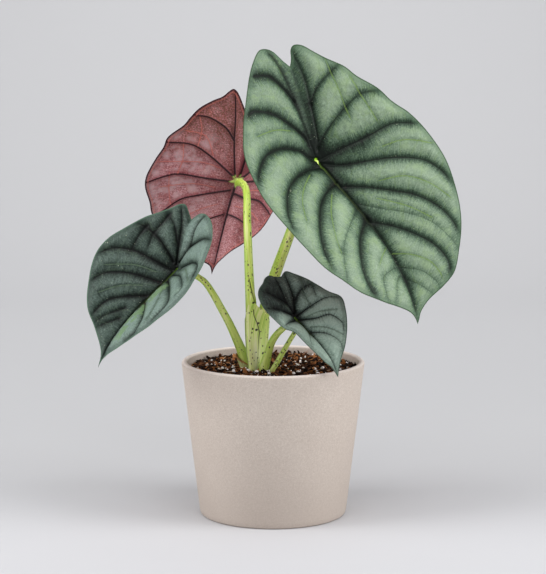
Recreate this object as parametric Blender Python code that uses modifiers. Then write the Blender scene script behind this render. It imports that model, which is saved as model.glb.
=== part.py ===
"""Potted alocasia: a tapered round pot, its soil, and a young plant of four open leaves and one rolled one.

The origin is the middle of the pot's underside, +Z is up and the plant's front faces -Y.
"""

import math

import bpy
from mathutils import Vector

MM = 0.001

# Pot
POT_HEIGHT = 118.5 * MM
POT_BASE_RADIUS = 56.0 * MM
POT_RIM_RADIUS = 70.0 * MM
POT_WALL = 4.6 * MM
POT_FLOOR = 6.0 * MM
POT_BASE_ROUND = 2.2 * MM
POT_SIDES = 80

# Soil
CLEARANCE = 0.4 * MM
SOIL_EDGE_HEIGHT = 111.3 * MM
SOIL_MOUND = 2.0 * MM
SOIL_SIDES = 48

# Crown, the short rootstock that every leaf stalk grows from
CROWN_CENTRE = (-10.0 * MM, -18.0 * MM)
CROWN_RADIUS = 15.0 * MM
CROWN_DEPTH = 22.0 * MM
CROWN_TOP = 113.6 * MM

# Leaf blades
BLADE_THICKNESS = 1.0 * MM
FUNNEL_POWER = 1.6
STALK_SAMPLES = 4

# Each blade is drawn flat round the joint with its stalk, in mm: u across, v towards the tip.
# Its two sides run from the tip to the notch between the basal lobes. The flat shape is then folded
# along the midrib and the notch, funnelled so that the lobes rise, curled at the tip and turned.
BLADES = {
    "big_leaf_blade": {
        "joint": (32.1, -30.0, 274.1),
        "tip_way": (0.597, -0.357, -0.718),
        "upper_side": (0.256, -0.764, 0.592),
        "fold_deg": 20.0, "unfold": -2.0, "crease_round": 2.5, "notch_lean_deg": -3.8,
        "tip_curl": 2.5, "lobe_rise_deg": 38.0, "sway": (-2.25e-3, 1.74e-5),
        "side_spokes": 30, "rings": 6,
        "plus_side": [
            (0, 143.5), (2, 138), (7, 132.5), (21, 123), (32, 116), (49, 103), (60, 90), (70, 74), (75, 52),
            (79, 29), (80.5, 8), (78, -14), (69, -32), (55, -56), (45, -72), (36, -81), (27, -87), (18, -87.5),
            (10, -84.5), (2, -77.5), (-4.8, -71.8),
        ],
        "minus_side": [
            (0, 143.5), (-2, 141), (-5, 136.5), (-13, 132), (-27, 128.5), (-38, 123.5), (-47, 112), (-59, 94),
            (-68, 73), (-74, 52), (-75, 32), (-72.5, 14), (-66.5, 0), (-62.5, -14), (-54, -30), (-48.5, -43),
            (-37, -59), (-29, -70), (-22, -79), (-15, -83.5), (-10.5, -82), (-8, -76), (-4.8, -71.8),
        ],
    },
    "back_leaf_blade": {
        "joint": (-28.7, 45.0, 252.0),
        "tip_way": (-0.277, 0.459, -0.844),
        "upper_side": (-0.441, 0.720, 0.536),
        "fold_deg": 18.0, "unfold": -1.5, "crease_round": 2.0, "notch_lean_deg": 0.0,
        "tip_curl": 3.0, "lobe_rise_deg": 13.0, "sway": (0.0, 0.0),
        "side_spokes": 25, "rings": 5,
        "plus_side": [
            (-1.5, 86.5), (0, 81), (4, 76), (14, 70), (28, 66), (46, 58), (57, 43), (64, 26), (67, 7), (65, -12),
            (59, -31), (48, -49), (36, -62), (24, -70), (14, -71), (6, -64), (0, -53),
        ],
        "minus_side": [
            (-1.5, 86.5), (-4.5, 79), (-12, 75), (-30, 66), (-46, 54), (-58, 39), (-62, 29), (-68, 17), (-69, 7),
            (-65, -7), (-61, -18), (-59, -27), (-49, -38), (-45, -45), (-39, -54), (-30, -61.5), (-23, -66),
            (-18.5, -71), (-15, -73.5), (-11, -71), (-6, -63.5), (0, -53),
        ],
    },
    "left_leaf_blade": {
        "joint": (-71.1, -35.0, 193.3),
        "tip_way": (-0.659, -0.351, -0.665),
        "upper_side": (-0.351, -0.639, 0.685),
        "fold_deg": 28.0, "unfold": -3.0, "crease_round": 2.0, "notch_lean_deg": 4.6,
        "tip_curl": 3.5, "lobe_rise_deg": 36.0, "sway": (3.86e-3, -3.76e-5),
        "side_spokes": 23, "rings": 5,
        "plus_side": [
            (0.5, 93.8), (2, 86), (7, 79), (18, 70), (31, 61), (43, 45), (51, 29), (51.5, 16), (47, 4), (39, -12),
            (32, -22), (24, -33), (18, -41), (13, -44), (8.5, -42), (3.1, -38.3),
        ],
        "minus_side": [
            (0.5, 93.8), (-0.5, 87), (-6, 81), (-20, 70), (-35, 55), (-46, 36), (-52.5, 20), (-50, 4), (-48.5, -14),
            (-43.5, -27), (-34, -36), (-22, -41.5), (-12, -43), (-3, -41.5), (3.1, -38.3),
        ],
    },
    "small_leaf_blade": {
        "joint": (16.2, -50.0, 159.0),
        "tip_way": (0.648, -0.335, -0.684),
        "upper_side": (0.353, -0.664, 0.659),
        "fold_deg": 30.0, "unfold": -4.0, "crease_round": 1.5, "notch_lean_deg": -16.2,
        "tip_curl": 5.0, "lobe_rise_deg": 20.0, "sway": (-6.14e-3, 1.231e-4),
        "side_spokes": 20, "rings": 4,
        "plus_side": [
            (-0.5, 54.5), (1, 51), (4, 46), (10, 40), (16, 27), (18.5, 18), (21, 11), (29.5, 6), (34, -2),
            (38, -11), (37.5, -20), (31, -26), (22, -29.5), (15, -33), (7, -34), (-1, -32), (-9, -30.9),
        ],
        "minus_side": [
            (-0.5, 54.5), (-3, 50), (-7, 45), (-15, 38), (-24, 28), (-31, 18), (-34.5, 9.5), (-30, 1), (-27, -7),
            (-23, -17), (-18, -26), (-14.5, -31.5), (-11.5, -32), (-9, -30.9),
        ],
    },
}

# Each stalk's route from the crown to its leaf: x, y, z and radius, in mm.
STALKS = {
    "big_leaf_stalk": [
        (-8.7, -11.0, 114.1, 3.6), (-8.7, -11.2, 117.5, 3.7), (-8.6, -11.5, 124, 3.9), (-7.9, -12, 139, 4.0),
        (-6.8, -13, 155, 4.0), (-4.3, -14, 167, 4.0), (2.2, -17, 188, 4.1), (12.7, -21.5, 217.5, 3.5),
        (22.2, -25.5, 245.6, 3.1), (28.5, -28.3, 263, 2.8), (31.2, -29.5, 271.5, 2.7),
    ],
    "back_leaf_stalk": [
        (-14.4, -18.5, 114.1, 3.6), (-14.6, -18.4, 117.5, 3.8), (-15.5, -18, 125, 4.0), (-16.2, -17, 140, 4.1),
        (-16.6, -15, 155, 4.0), (-17.3, -11, 170, 3.4), (-18.2, -4, 188, 3.2), (-19.1, 5, 210, 3.0),
        (-19.8, 14, 228, 2.7), (-19.9, 20, 239, 2.5), (-20.7, 27, 246, 2.5), (-22.6, 33, 249.6, 2.5),
        (-25.2, 38, 251.0, 2.4), (-27.8, 43.1, 251.5, 2.4),
    ],
    "left_leaf_stalk": [
        (-20.0, -10.5, 114.8, 4.4), (-20.4, -10.7, 117.5, 4.3), (-22.3, -11.5, 124, 4.0), (-27.2, -13, 136, 3.4),
        (-33.1, -15.5, 149.4, 2.8), (-39.1, -18.5, 161.2, 2.6), (-44.9, -22, 172.4, 2.4), (-50.7, -26, 181.6, 2.2),
        (-57.5, -29.4, 187.2, 2.1), (-63.4, -32, 190.4, 2.0), (-69.1, -34.1, 192.3, 1.9),
    ],
    "small_leaf_stalk": [
        (-6.9, -23, 114.3, 3.7), (-6.7, -23.2, 116.5, 3.7), (-5.6, -24, 121, 3.5), (-3.0, -26, 130.5, 2.9),
        (-0.4, -29, 138, 2.7), (3.4, -33, 144.2, 2.5), (8.2, -38, 149.6, 2.3), (12.4, -43.8, 154.0, 2.1),
        (15.5, -49.0, 158.1, 2.0),
    ],
    "young_leaf_stalk": [
        (-0.5, -27, 114.5, 1.9), (-0.3, -27.1, 115.8, 1.9), (3.0, -28, 121, 1.9), (7.5, -29.5, 129.6, 1.9),
        (11.9, -31, 137.5, 1.8), (16.4, -32.0, 145.3, 1.7), (19.6, -32.0, 151.6, 1.6),
    ],
    "young_leaf_roll": [
        (20.0, -31.8, 152.4, 1.5), (21.6, -31.0, 156.0, 2.3), (23.8, -30.0, 161.5, 2.6), (25.8, -28.8, 167.5, 2.2),
        (27.2, -27.8, 172.5, 1.3), (28.2, -27.2, 176.0, 0.5),
    ],
}

# Dry sheath, the withered scale that wraps the front of the left stalk's foot
SHEATH_FOOT = (-19.9, -10.5, 114.2)
SHEATH_RADIUS = 5.25
SHEATH_LEAN = (-0.24, -0.08)
SHEATH_ARC_DEG = (105.0, 288.0)
SHEATH_HEIGHTS = (11.0, 4.0)
SHEATH_THICKNESS = 0.5 * MM

COLOURS = {
    "pot": (0.53, 0.45, 0.40),
    "soil": (0.060, 0.035, 0.020),
    "crown": (0.20, 0.14, 0.08),
    "leaf_green": (0.11, 0.19, 0.12),
    "leaf_dark": (0.045, 0.075, 0.06),
    "leaf_purple": (0.19, 0.06, 0.07),
    "stalk": (0.40, 0.58, 0.10),
    "dry_sheath": (0.33, 0.19, 0.08),
}


def clear_scene():
    for obj in list(bpy.data.objects):
        bpy.data.objects.remove(obj, do_unlink=True)


def new_collection(name):
    collection = bpy.data.collections.new(name)
    bpy.context.scene.collection.children.link(collection)
    return collection


def material(name, roughness=0.6):
    """The named colour as a plain non-metal material, made once."""
    found = bpy.data.materials.get(name)
    if found:
        return found
    made = bpy.data.materials.new(name)
    made.use_nodes = True
    shader = made.node_tree.nodes["Principled BSDF"]
    shader.inputs["Base Color"].default_value = (*COLOURS[name], 1.0)
    shader.inputs["Roughness"].default_value = roughness
    shader.inputs["Metallic"].default_value = 0.0
    return made


def add_object(name, data, collection, look):
    obj = bpy.data.objects.new(name, data)
    obj.data.materials.append(look)
    collection.objects.link(obj)
    return obj


def catmull_rom(before, start, end, after, t):
    """A point between start and end on the smooth curve through all four, whatever their dimension."""
    return tuple(
        0.5 * (2 * b + (c - a) * t + (2 * a - 5 * b + 4 * c - d) * t**2 + (3 * b - a - 3 * c + d) * t**3)
        for a, b, c, d in zip(before, start, end, after)
    )


def smooth_open(points, samples):
    """Points along the smooth open curve through the given ones, samples to each stretch."""
    run = [points[0], *points, points[-1]]
    smooth = [
        catmull_rom(*run[i : i + 4], step / samples)
        for i in range(len(points) - 1)
        for step in range(samples)
    ]
    return [*smooth, points[-1]]


def evenly(points, count):
    """Count + 1 points at even spacing along the smooth open curve through the given ones."""
    dense = smooth_open(points, 12)
    reach = [0.0]
    for start, end in zip(dense, dense[1:]):
        reach.append(reach[-1] + math.dist(start, end))
    even = [dense[0]]
    i = 0
    for step in range(1, count):
        wanted = reach[-1] * step / count
        while reach[i + 1] < wanted:
            i += 1
        t = (wanted - reach[i]) / (reach[i + 1] - reach[i])
        even.append(tuple(a + (b - a) * t for a, b in zip(dense[i], dense[i + 1])))
    return [*even, dense[-1]]


def turned(name, profile, sides, collection, look):
    """A solid of revolution about Z. The profile runs from the axis over the top and down the outside."""
    mesh = bpy.data.meshes.new(name)
    edges = [(i, i + 1) for i in range(len(profile) - 1)]
    mesh.from_pydata([(radius, 0.0, height) for radius, height in profile], edges, [])
    obj = add_object(name, mesh, collection, look)
    screw = obj.modifiers.new("turn", "SCREW")
    screw.axis = "Z"
    screw.steps = sides
    screw.render_steps = sides
    screw.use_merge_vertices = True
    screw.merge_threshold = 1e-5
    screw.use_smooth_shade = True
    return obj


def arc(centre, radius, start_deg, end_deg, steps):
    """Profile points on a circular arc, both ends included."""
    angles = [math.radians(start_deg + (end_deg - start_deg) * i / steps) for i in range(steps + 1)]
    return [(centre[0] + radius * math.cos(a), centre[1] + radius * math.sin(a)) for a in angles]


def pot_radius(height):
    """The pot's outer radius at a height above its underside."""
    return POT_BASE_RADIUS + (POT_RIM_RADIUS - POT_BASE_RADIUS) * height / POT_HEIGHT


def make_pot(collection):
    lip = POT_WALL / 2
    lip_height = POT_HEIGHT - lip
    inner_floor = pot_radius(POT_FLOOR) - POT_WALL
    corner = POT_BASE_ROUND
    profile = [(0.0, POT_FLOOR), (inner_floor - corner, POT_FLOOR)]
    profile += [(inner_floor + 0.3 * corner, POT_FLOOR + corner)]
    profile += arc((pot_radius(lip_height) - lip, lip_height), lip, 180, 0, 6)
    profile += arc((POT_BASE_RADIUS - corner, corner), corner, 0, -90, 4)
    profile += [(0.0, 0.0)]
    return turned("pot", profile, POT_SIDES, collection, material("pot", 0.75))


def make_crown_shape(name, collection, grow, top):
    """The crown, or the larger hole that it sits in: a blunt cone, rounded at its foot."""
    radius = CROWN_RADIUS + grow
    foot = CROWN_TOP - CROWN_DEPTH - grow
    profile = [(0.0, top), (radius, top), (radius, CROWN_TOP - CROWN_DEPTH * 0.35)]
    profile += [(radius * 0.8, foot + CROWN_DEPTH * 0.2), (radius * 0.45, foot), (0.0, foot)]
    obj = turned(name, profile, 28, collection, material("crown", 0.9))
    obj.location = (*CROWN_CENTRE, 0.0)
    return obj


def make_soil(collection, cutters):
    gap = POT_WALL + CLEARANCE
    low = POT_FLOOR + CLEARANCE
    corner = POT_BASE_ROUND
    edge = pot_radius(SOIL_EDGE_HEIGHT) - gap
    rings = 6
    profile = [
        (edge * i / rings, SOIL_EDGE_HEIGHT + SOIL_MOUND * (1 - (i / rings) ** 2)) for i in range(rings + 1)
    ]
    profile += [(pot_radius(low + corner) - gap, low + corner)]
    profile += [(pot_radius(low) - gap - corner, low), (0.0, low)]
    soil = turned("soil", profile, SOIL_SIDES, collection, material("soil", 0.95))
    hole = make_crown_shape("crown_hole", cutters, CLEARANCE, CROWN_TOP + 10 * MM)
    hole.hide_render = True
    hole.display_type = "WIRE"
    cut = soil.modifiers.new("crown hole", "BOOLEAN")
    cut.object = hole
    cut.operation = "DIFFERENCE"
    cut.solver = "EXACT"
    return soil


def leaf_frame(blade):
    """The blade's own directions in the world: across, towards the tip, and out of its upper side."""
    along = Vector(blade["tip_way"]).normalized()
    up = Vector(blade["upper_side"])
    up = (up - along * up.dot(along)).normalized()
    return along.cross(up), along, up


def blade_lift(blade, u, v):
    """How high the fold and the funnel lift the flat point (u, v), and the funnel's slope, in metres."""
    fold, unfold = math.radians(blade["fold_deg"]), blade["unfold"]
    lean = math.radians(blade["notch_lean_deg"])
    angle = math.atan2(u, v)
    notch_angle = math.pi - lean if angle >= 0 else math.pi + lean
    way = angle / notch_angle * math.pi
    far = math.hypot(u, v)
    rounding = blade["crease_round"] * MM
    reach = math.hypot(far * math.sin(way), rounding) - rounding
    slope = math.radians(blade["lobe_rise_deg"]) * ((1 - math.cos(way)) / 2) ** FUNNEL_POWER
    height = (math.cos(fold) - math.cos(fold + unfold * reach)) / unfold + far * math.sin(slope)
    return height, slope


def blade_point(blade, u, v):
    """Where the flat point (u, v) in mm lies on the finished blade."""
    front = max(v, 0.0)
    sway = (blade["sway"][0] * front**2 + blade["sway"][1] * front**3) * MM
    u, v, turn = u * MM, v * MM, blade["tip_curl"] * front * MM
    fold, unfold = math.radians(blade["fold_deg"]), blade["unfold"]
    height, slope = blade_lift(blade, u, v)
    flat = math.copysign((math.sin(fold + unfold * abs(u)) - math.sin(fold)) / unfold, u)
    lateral = flat * math.cos(slope) + sway
    along = math.sin(turn) / blade["tip_curl"] if v > 0 else v
    along = along * math.cos(slope) + height * math.sin(turn)
    out = height * math.cos(turn) - (1 - math.cos(turn)) / blade["tip_curl"]
    across_way, along_way, up_way = leaf_frame(blade)
    return Vector(blade["joint"]) * MM + across_way * lateral + along_way * along + up_way * out


def make_blade(name, blade, collection, look):
    """A thin shell: rings of the outline shrunk towards the stalk joint, folded and curled."""
    half, rings = blade["side_spokes"], blade["rings"]
    outline = evenly(blade["plus_side"], half) + evenly(blade["minus_side"], half)[-2:0:-1]
    spokes = len(outline)
    points = [blade_point(blade, 0.0, 0.0)]
    for ring in range(1, rings + 1):
        points += [blade_point(blade, u * ring / rings, v * ring / rings) for u, v in outline]
    faces = []
    for i in range(spokes):
        j = (i + 1) % spokes
        faces.append((0, 1 + i, 1 + j))
        for ring in range(rings - 1):
            inner, outer = 1 + ring * spokes, 1 + (ring + 1) * spokes
            faces.append((inner + i, outer + i, outer + j, inner + j))
    mesh = bpy.data.meshes.new(name)
    mesh.from_pydata(points, [], faces)
    obj = add_object(name, mesh, collection, look)
    shell = obj.modifiers.new("thickness", "SOLIDIFY")
    shell.thickness = BLADE_THICKNESS
    shell.offset = 0.0
    return obj


def make_stalk(name, route, collection, look):
    """A tapered round stalk with closed ends, as a bevelled curve."""
    smooth = smooth_open(route, STALK_SAMPLES)
    curve = bpy.data.curves.new(name, "CURVE")
    curve.dimensions = "3D"
    curve.bevel_depth = MM
    curve.bevel_resolution = 2
    curve.use_fill_caps = True
    spline = curve.splines.new("POLY")
    spline.points.add(len(smooth) - 1)
    for point, (x, y, z, radius) in zip(spline.points, smooth):
        point.co = (x * MM, y * MM, z * MM, 1.0)
        point.radius = radius
    return add_object(name, curve, collection, look)


def make_dry_sheath(collection):
    """A slanted half ring round the foot of the left stalk, taller at its outer side."""
    steps, levels = 14, 4
    start, end = (math.radians(angle) for angle in SHEATH_ARC_DEG)
    points = []
    for level in range(levels + 1):
        for step in range(steps + 1):
            share = step / steps
            angle = start + (end - start) * share
            tall = SHEATH_HEIGHTS[0] + (SHEATH_HEIGHTS[1] - SHEATH_HEIGHTS[0]) * share**2
            rise = tall * level / levels
            x = SHEATH_FOOT[0] + SHEATH_RADIUS * math.cos(angle) + SHEATH_LEAN[0] * rise
            y = SHEATH_FOOT[1] + SHEATH_RADIUS * math.sin(angle) + SHEATH_LEAN[1] * rise
            points.append((x * MM, y * MM, (SHEATH_FOOT[2] + rise) * MM))
    faces = []
    for level in range(levels):
        for step in range(steps):
            low = level * (steps + 1) + step
            high = low + steps + 1
            faces.append((low, low + 1, high + 1, high))
    mesh = bpy.data.meshes.new("dry_sheath")
    mesh.from_pydata(points, [], faces)
    obj = add_object("dry_sheath", mesh, collection, material("dry_sheath", 0.8))
    shell = obj.modifiers.new("thickness", "SOLIDIFY")
    shell.thickness = SHEATH_THICKNESS
    shell.offset = 0.0
    return obj


def main():
    clear_scene()
    parts = new_collection("potted_alocasia")
    cutters = new_collection("cutters")
    make_pot(parts)
    make_soil(parts, cutters)
    make_crown_shape("crown", parts, 0.0, CROWN_TOP)
    looks = {
        "big_leaf_blade": material("leaf_green", 0.5),
        "back_leaf_blade": material("leaf_purple", 0.5),
        "left_leaf_blade": material("leaf_dark", 0.5),
        "small_leaf_blade": material("leaf_dark", 0.5),
    }
    for name, blade in BLADES.items():
        make_blade(name, blade, parts, looks[name])
    for name, route in STALKS.items():
        make_stalk(name, route, parts, material("stalk", 0.45))
    make_dry_sheath(parts)


main()
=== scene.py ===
"""Looks of the potted alocasia: leaves with sunken veins, speckled stalks, bark soil and a matte pot.

Everything is in metres in the CAD model's own frame: the origin is the middle of the pot's underside,
+Z is up and the plant's front faces -Y.
"""

import math

import bpy
import numpy as np
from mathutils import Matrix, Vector


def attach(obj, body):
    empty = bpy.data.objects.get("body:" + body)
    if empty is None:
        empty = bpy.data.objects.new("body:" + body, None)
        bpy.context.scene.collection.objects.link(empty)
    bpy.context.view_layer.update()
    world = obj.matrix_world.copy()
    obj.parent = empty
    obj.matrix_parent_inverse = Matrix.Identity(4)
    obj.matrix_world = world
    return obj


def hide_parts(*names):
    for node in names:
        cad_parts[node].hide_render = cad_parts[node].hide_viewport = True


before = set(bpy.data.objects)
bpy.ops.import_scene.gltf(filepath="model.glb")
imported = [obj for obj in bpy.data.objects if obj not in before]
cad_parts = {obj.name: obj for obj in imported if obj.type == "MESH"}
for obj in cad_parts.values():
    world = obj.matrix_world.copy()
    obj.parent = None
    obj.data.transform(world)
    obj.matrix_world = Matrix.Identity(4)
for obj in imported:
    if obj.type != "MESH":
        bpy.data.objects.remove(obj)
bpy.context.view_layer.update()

MM = 0.001
ROOT = "root"


# The blades' flat shapes, as in the CAD model, in mm: u across, v towards the tip, joint at (0, 0).
# ribs are the main veins as (kind, points), those of kind fold are bands of painted shade along folds of the blade,
# and lines are the fine pale ones.

FUNNEL_POWER = 1.6

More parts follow.
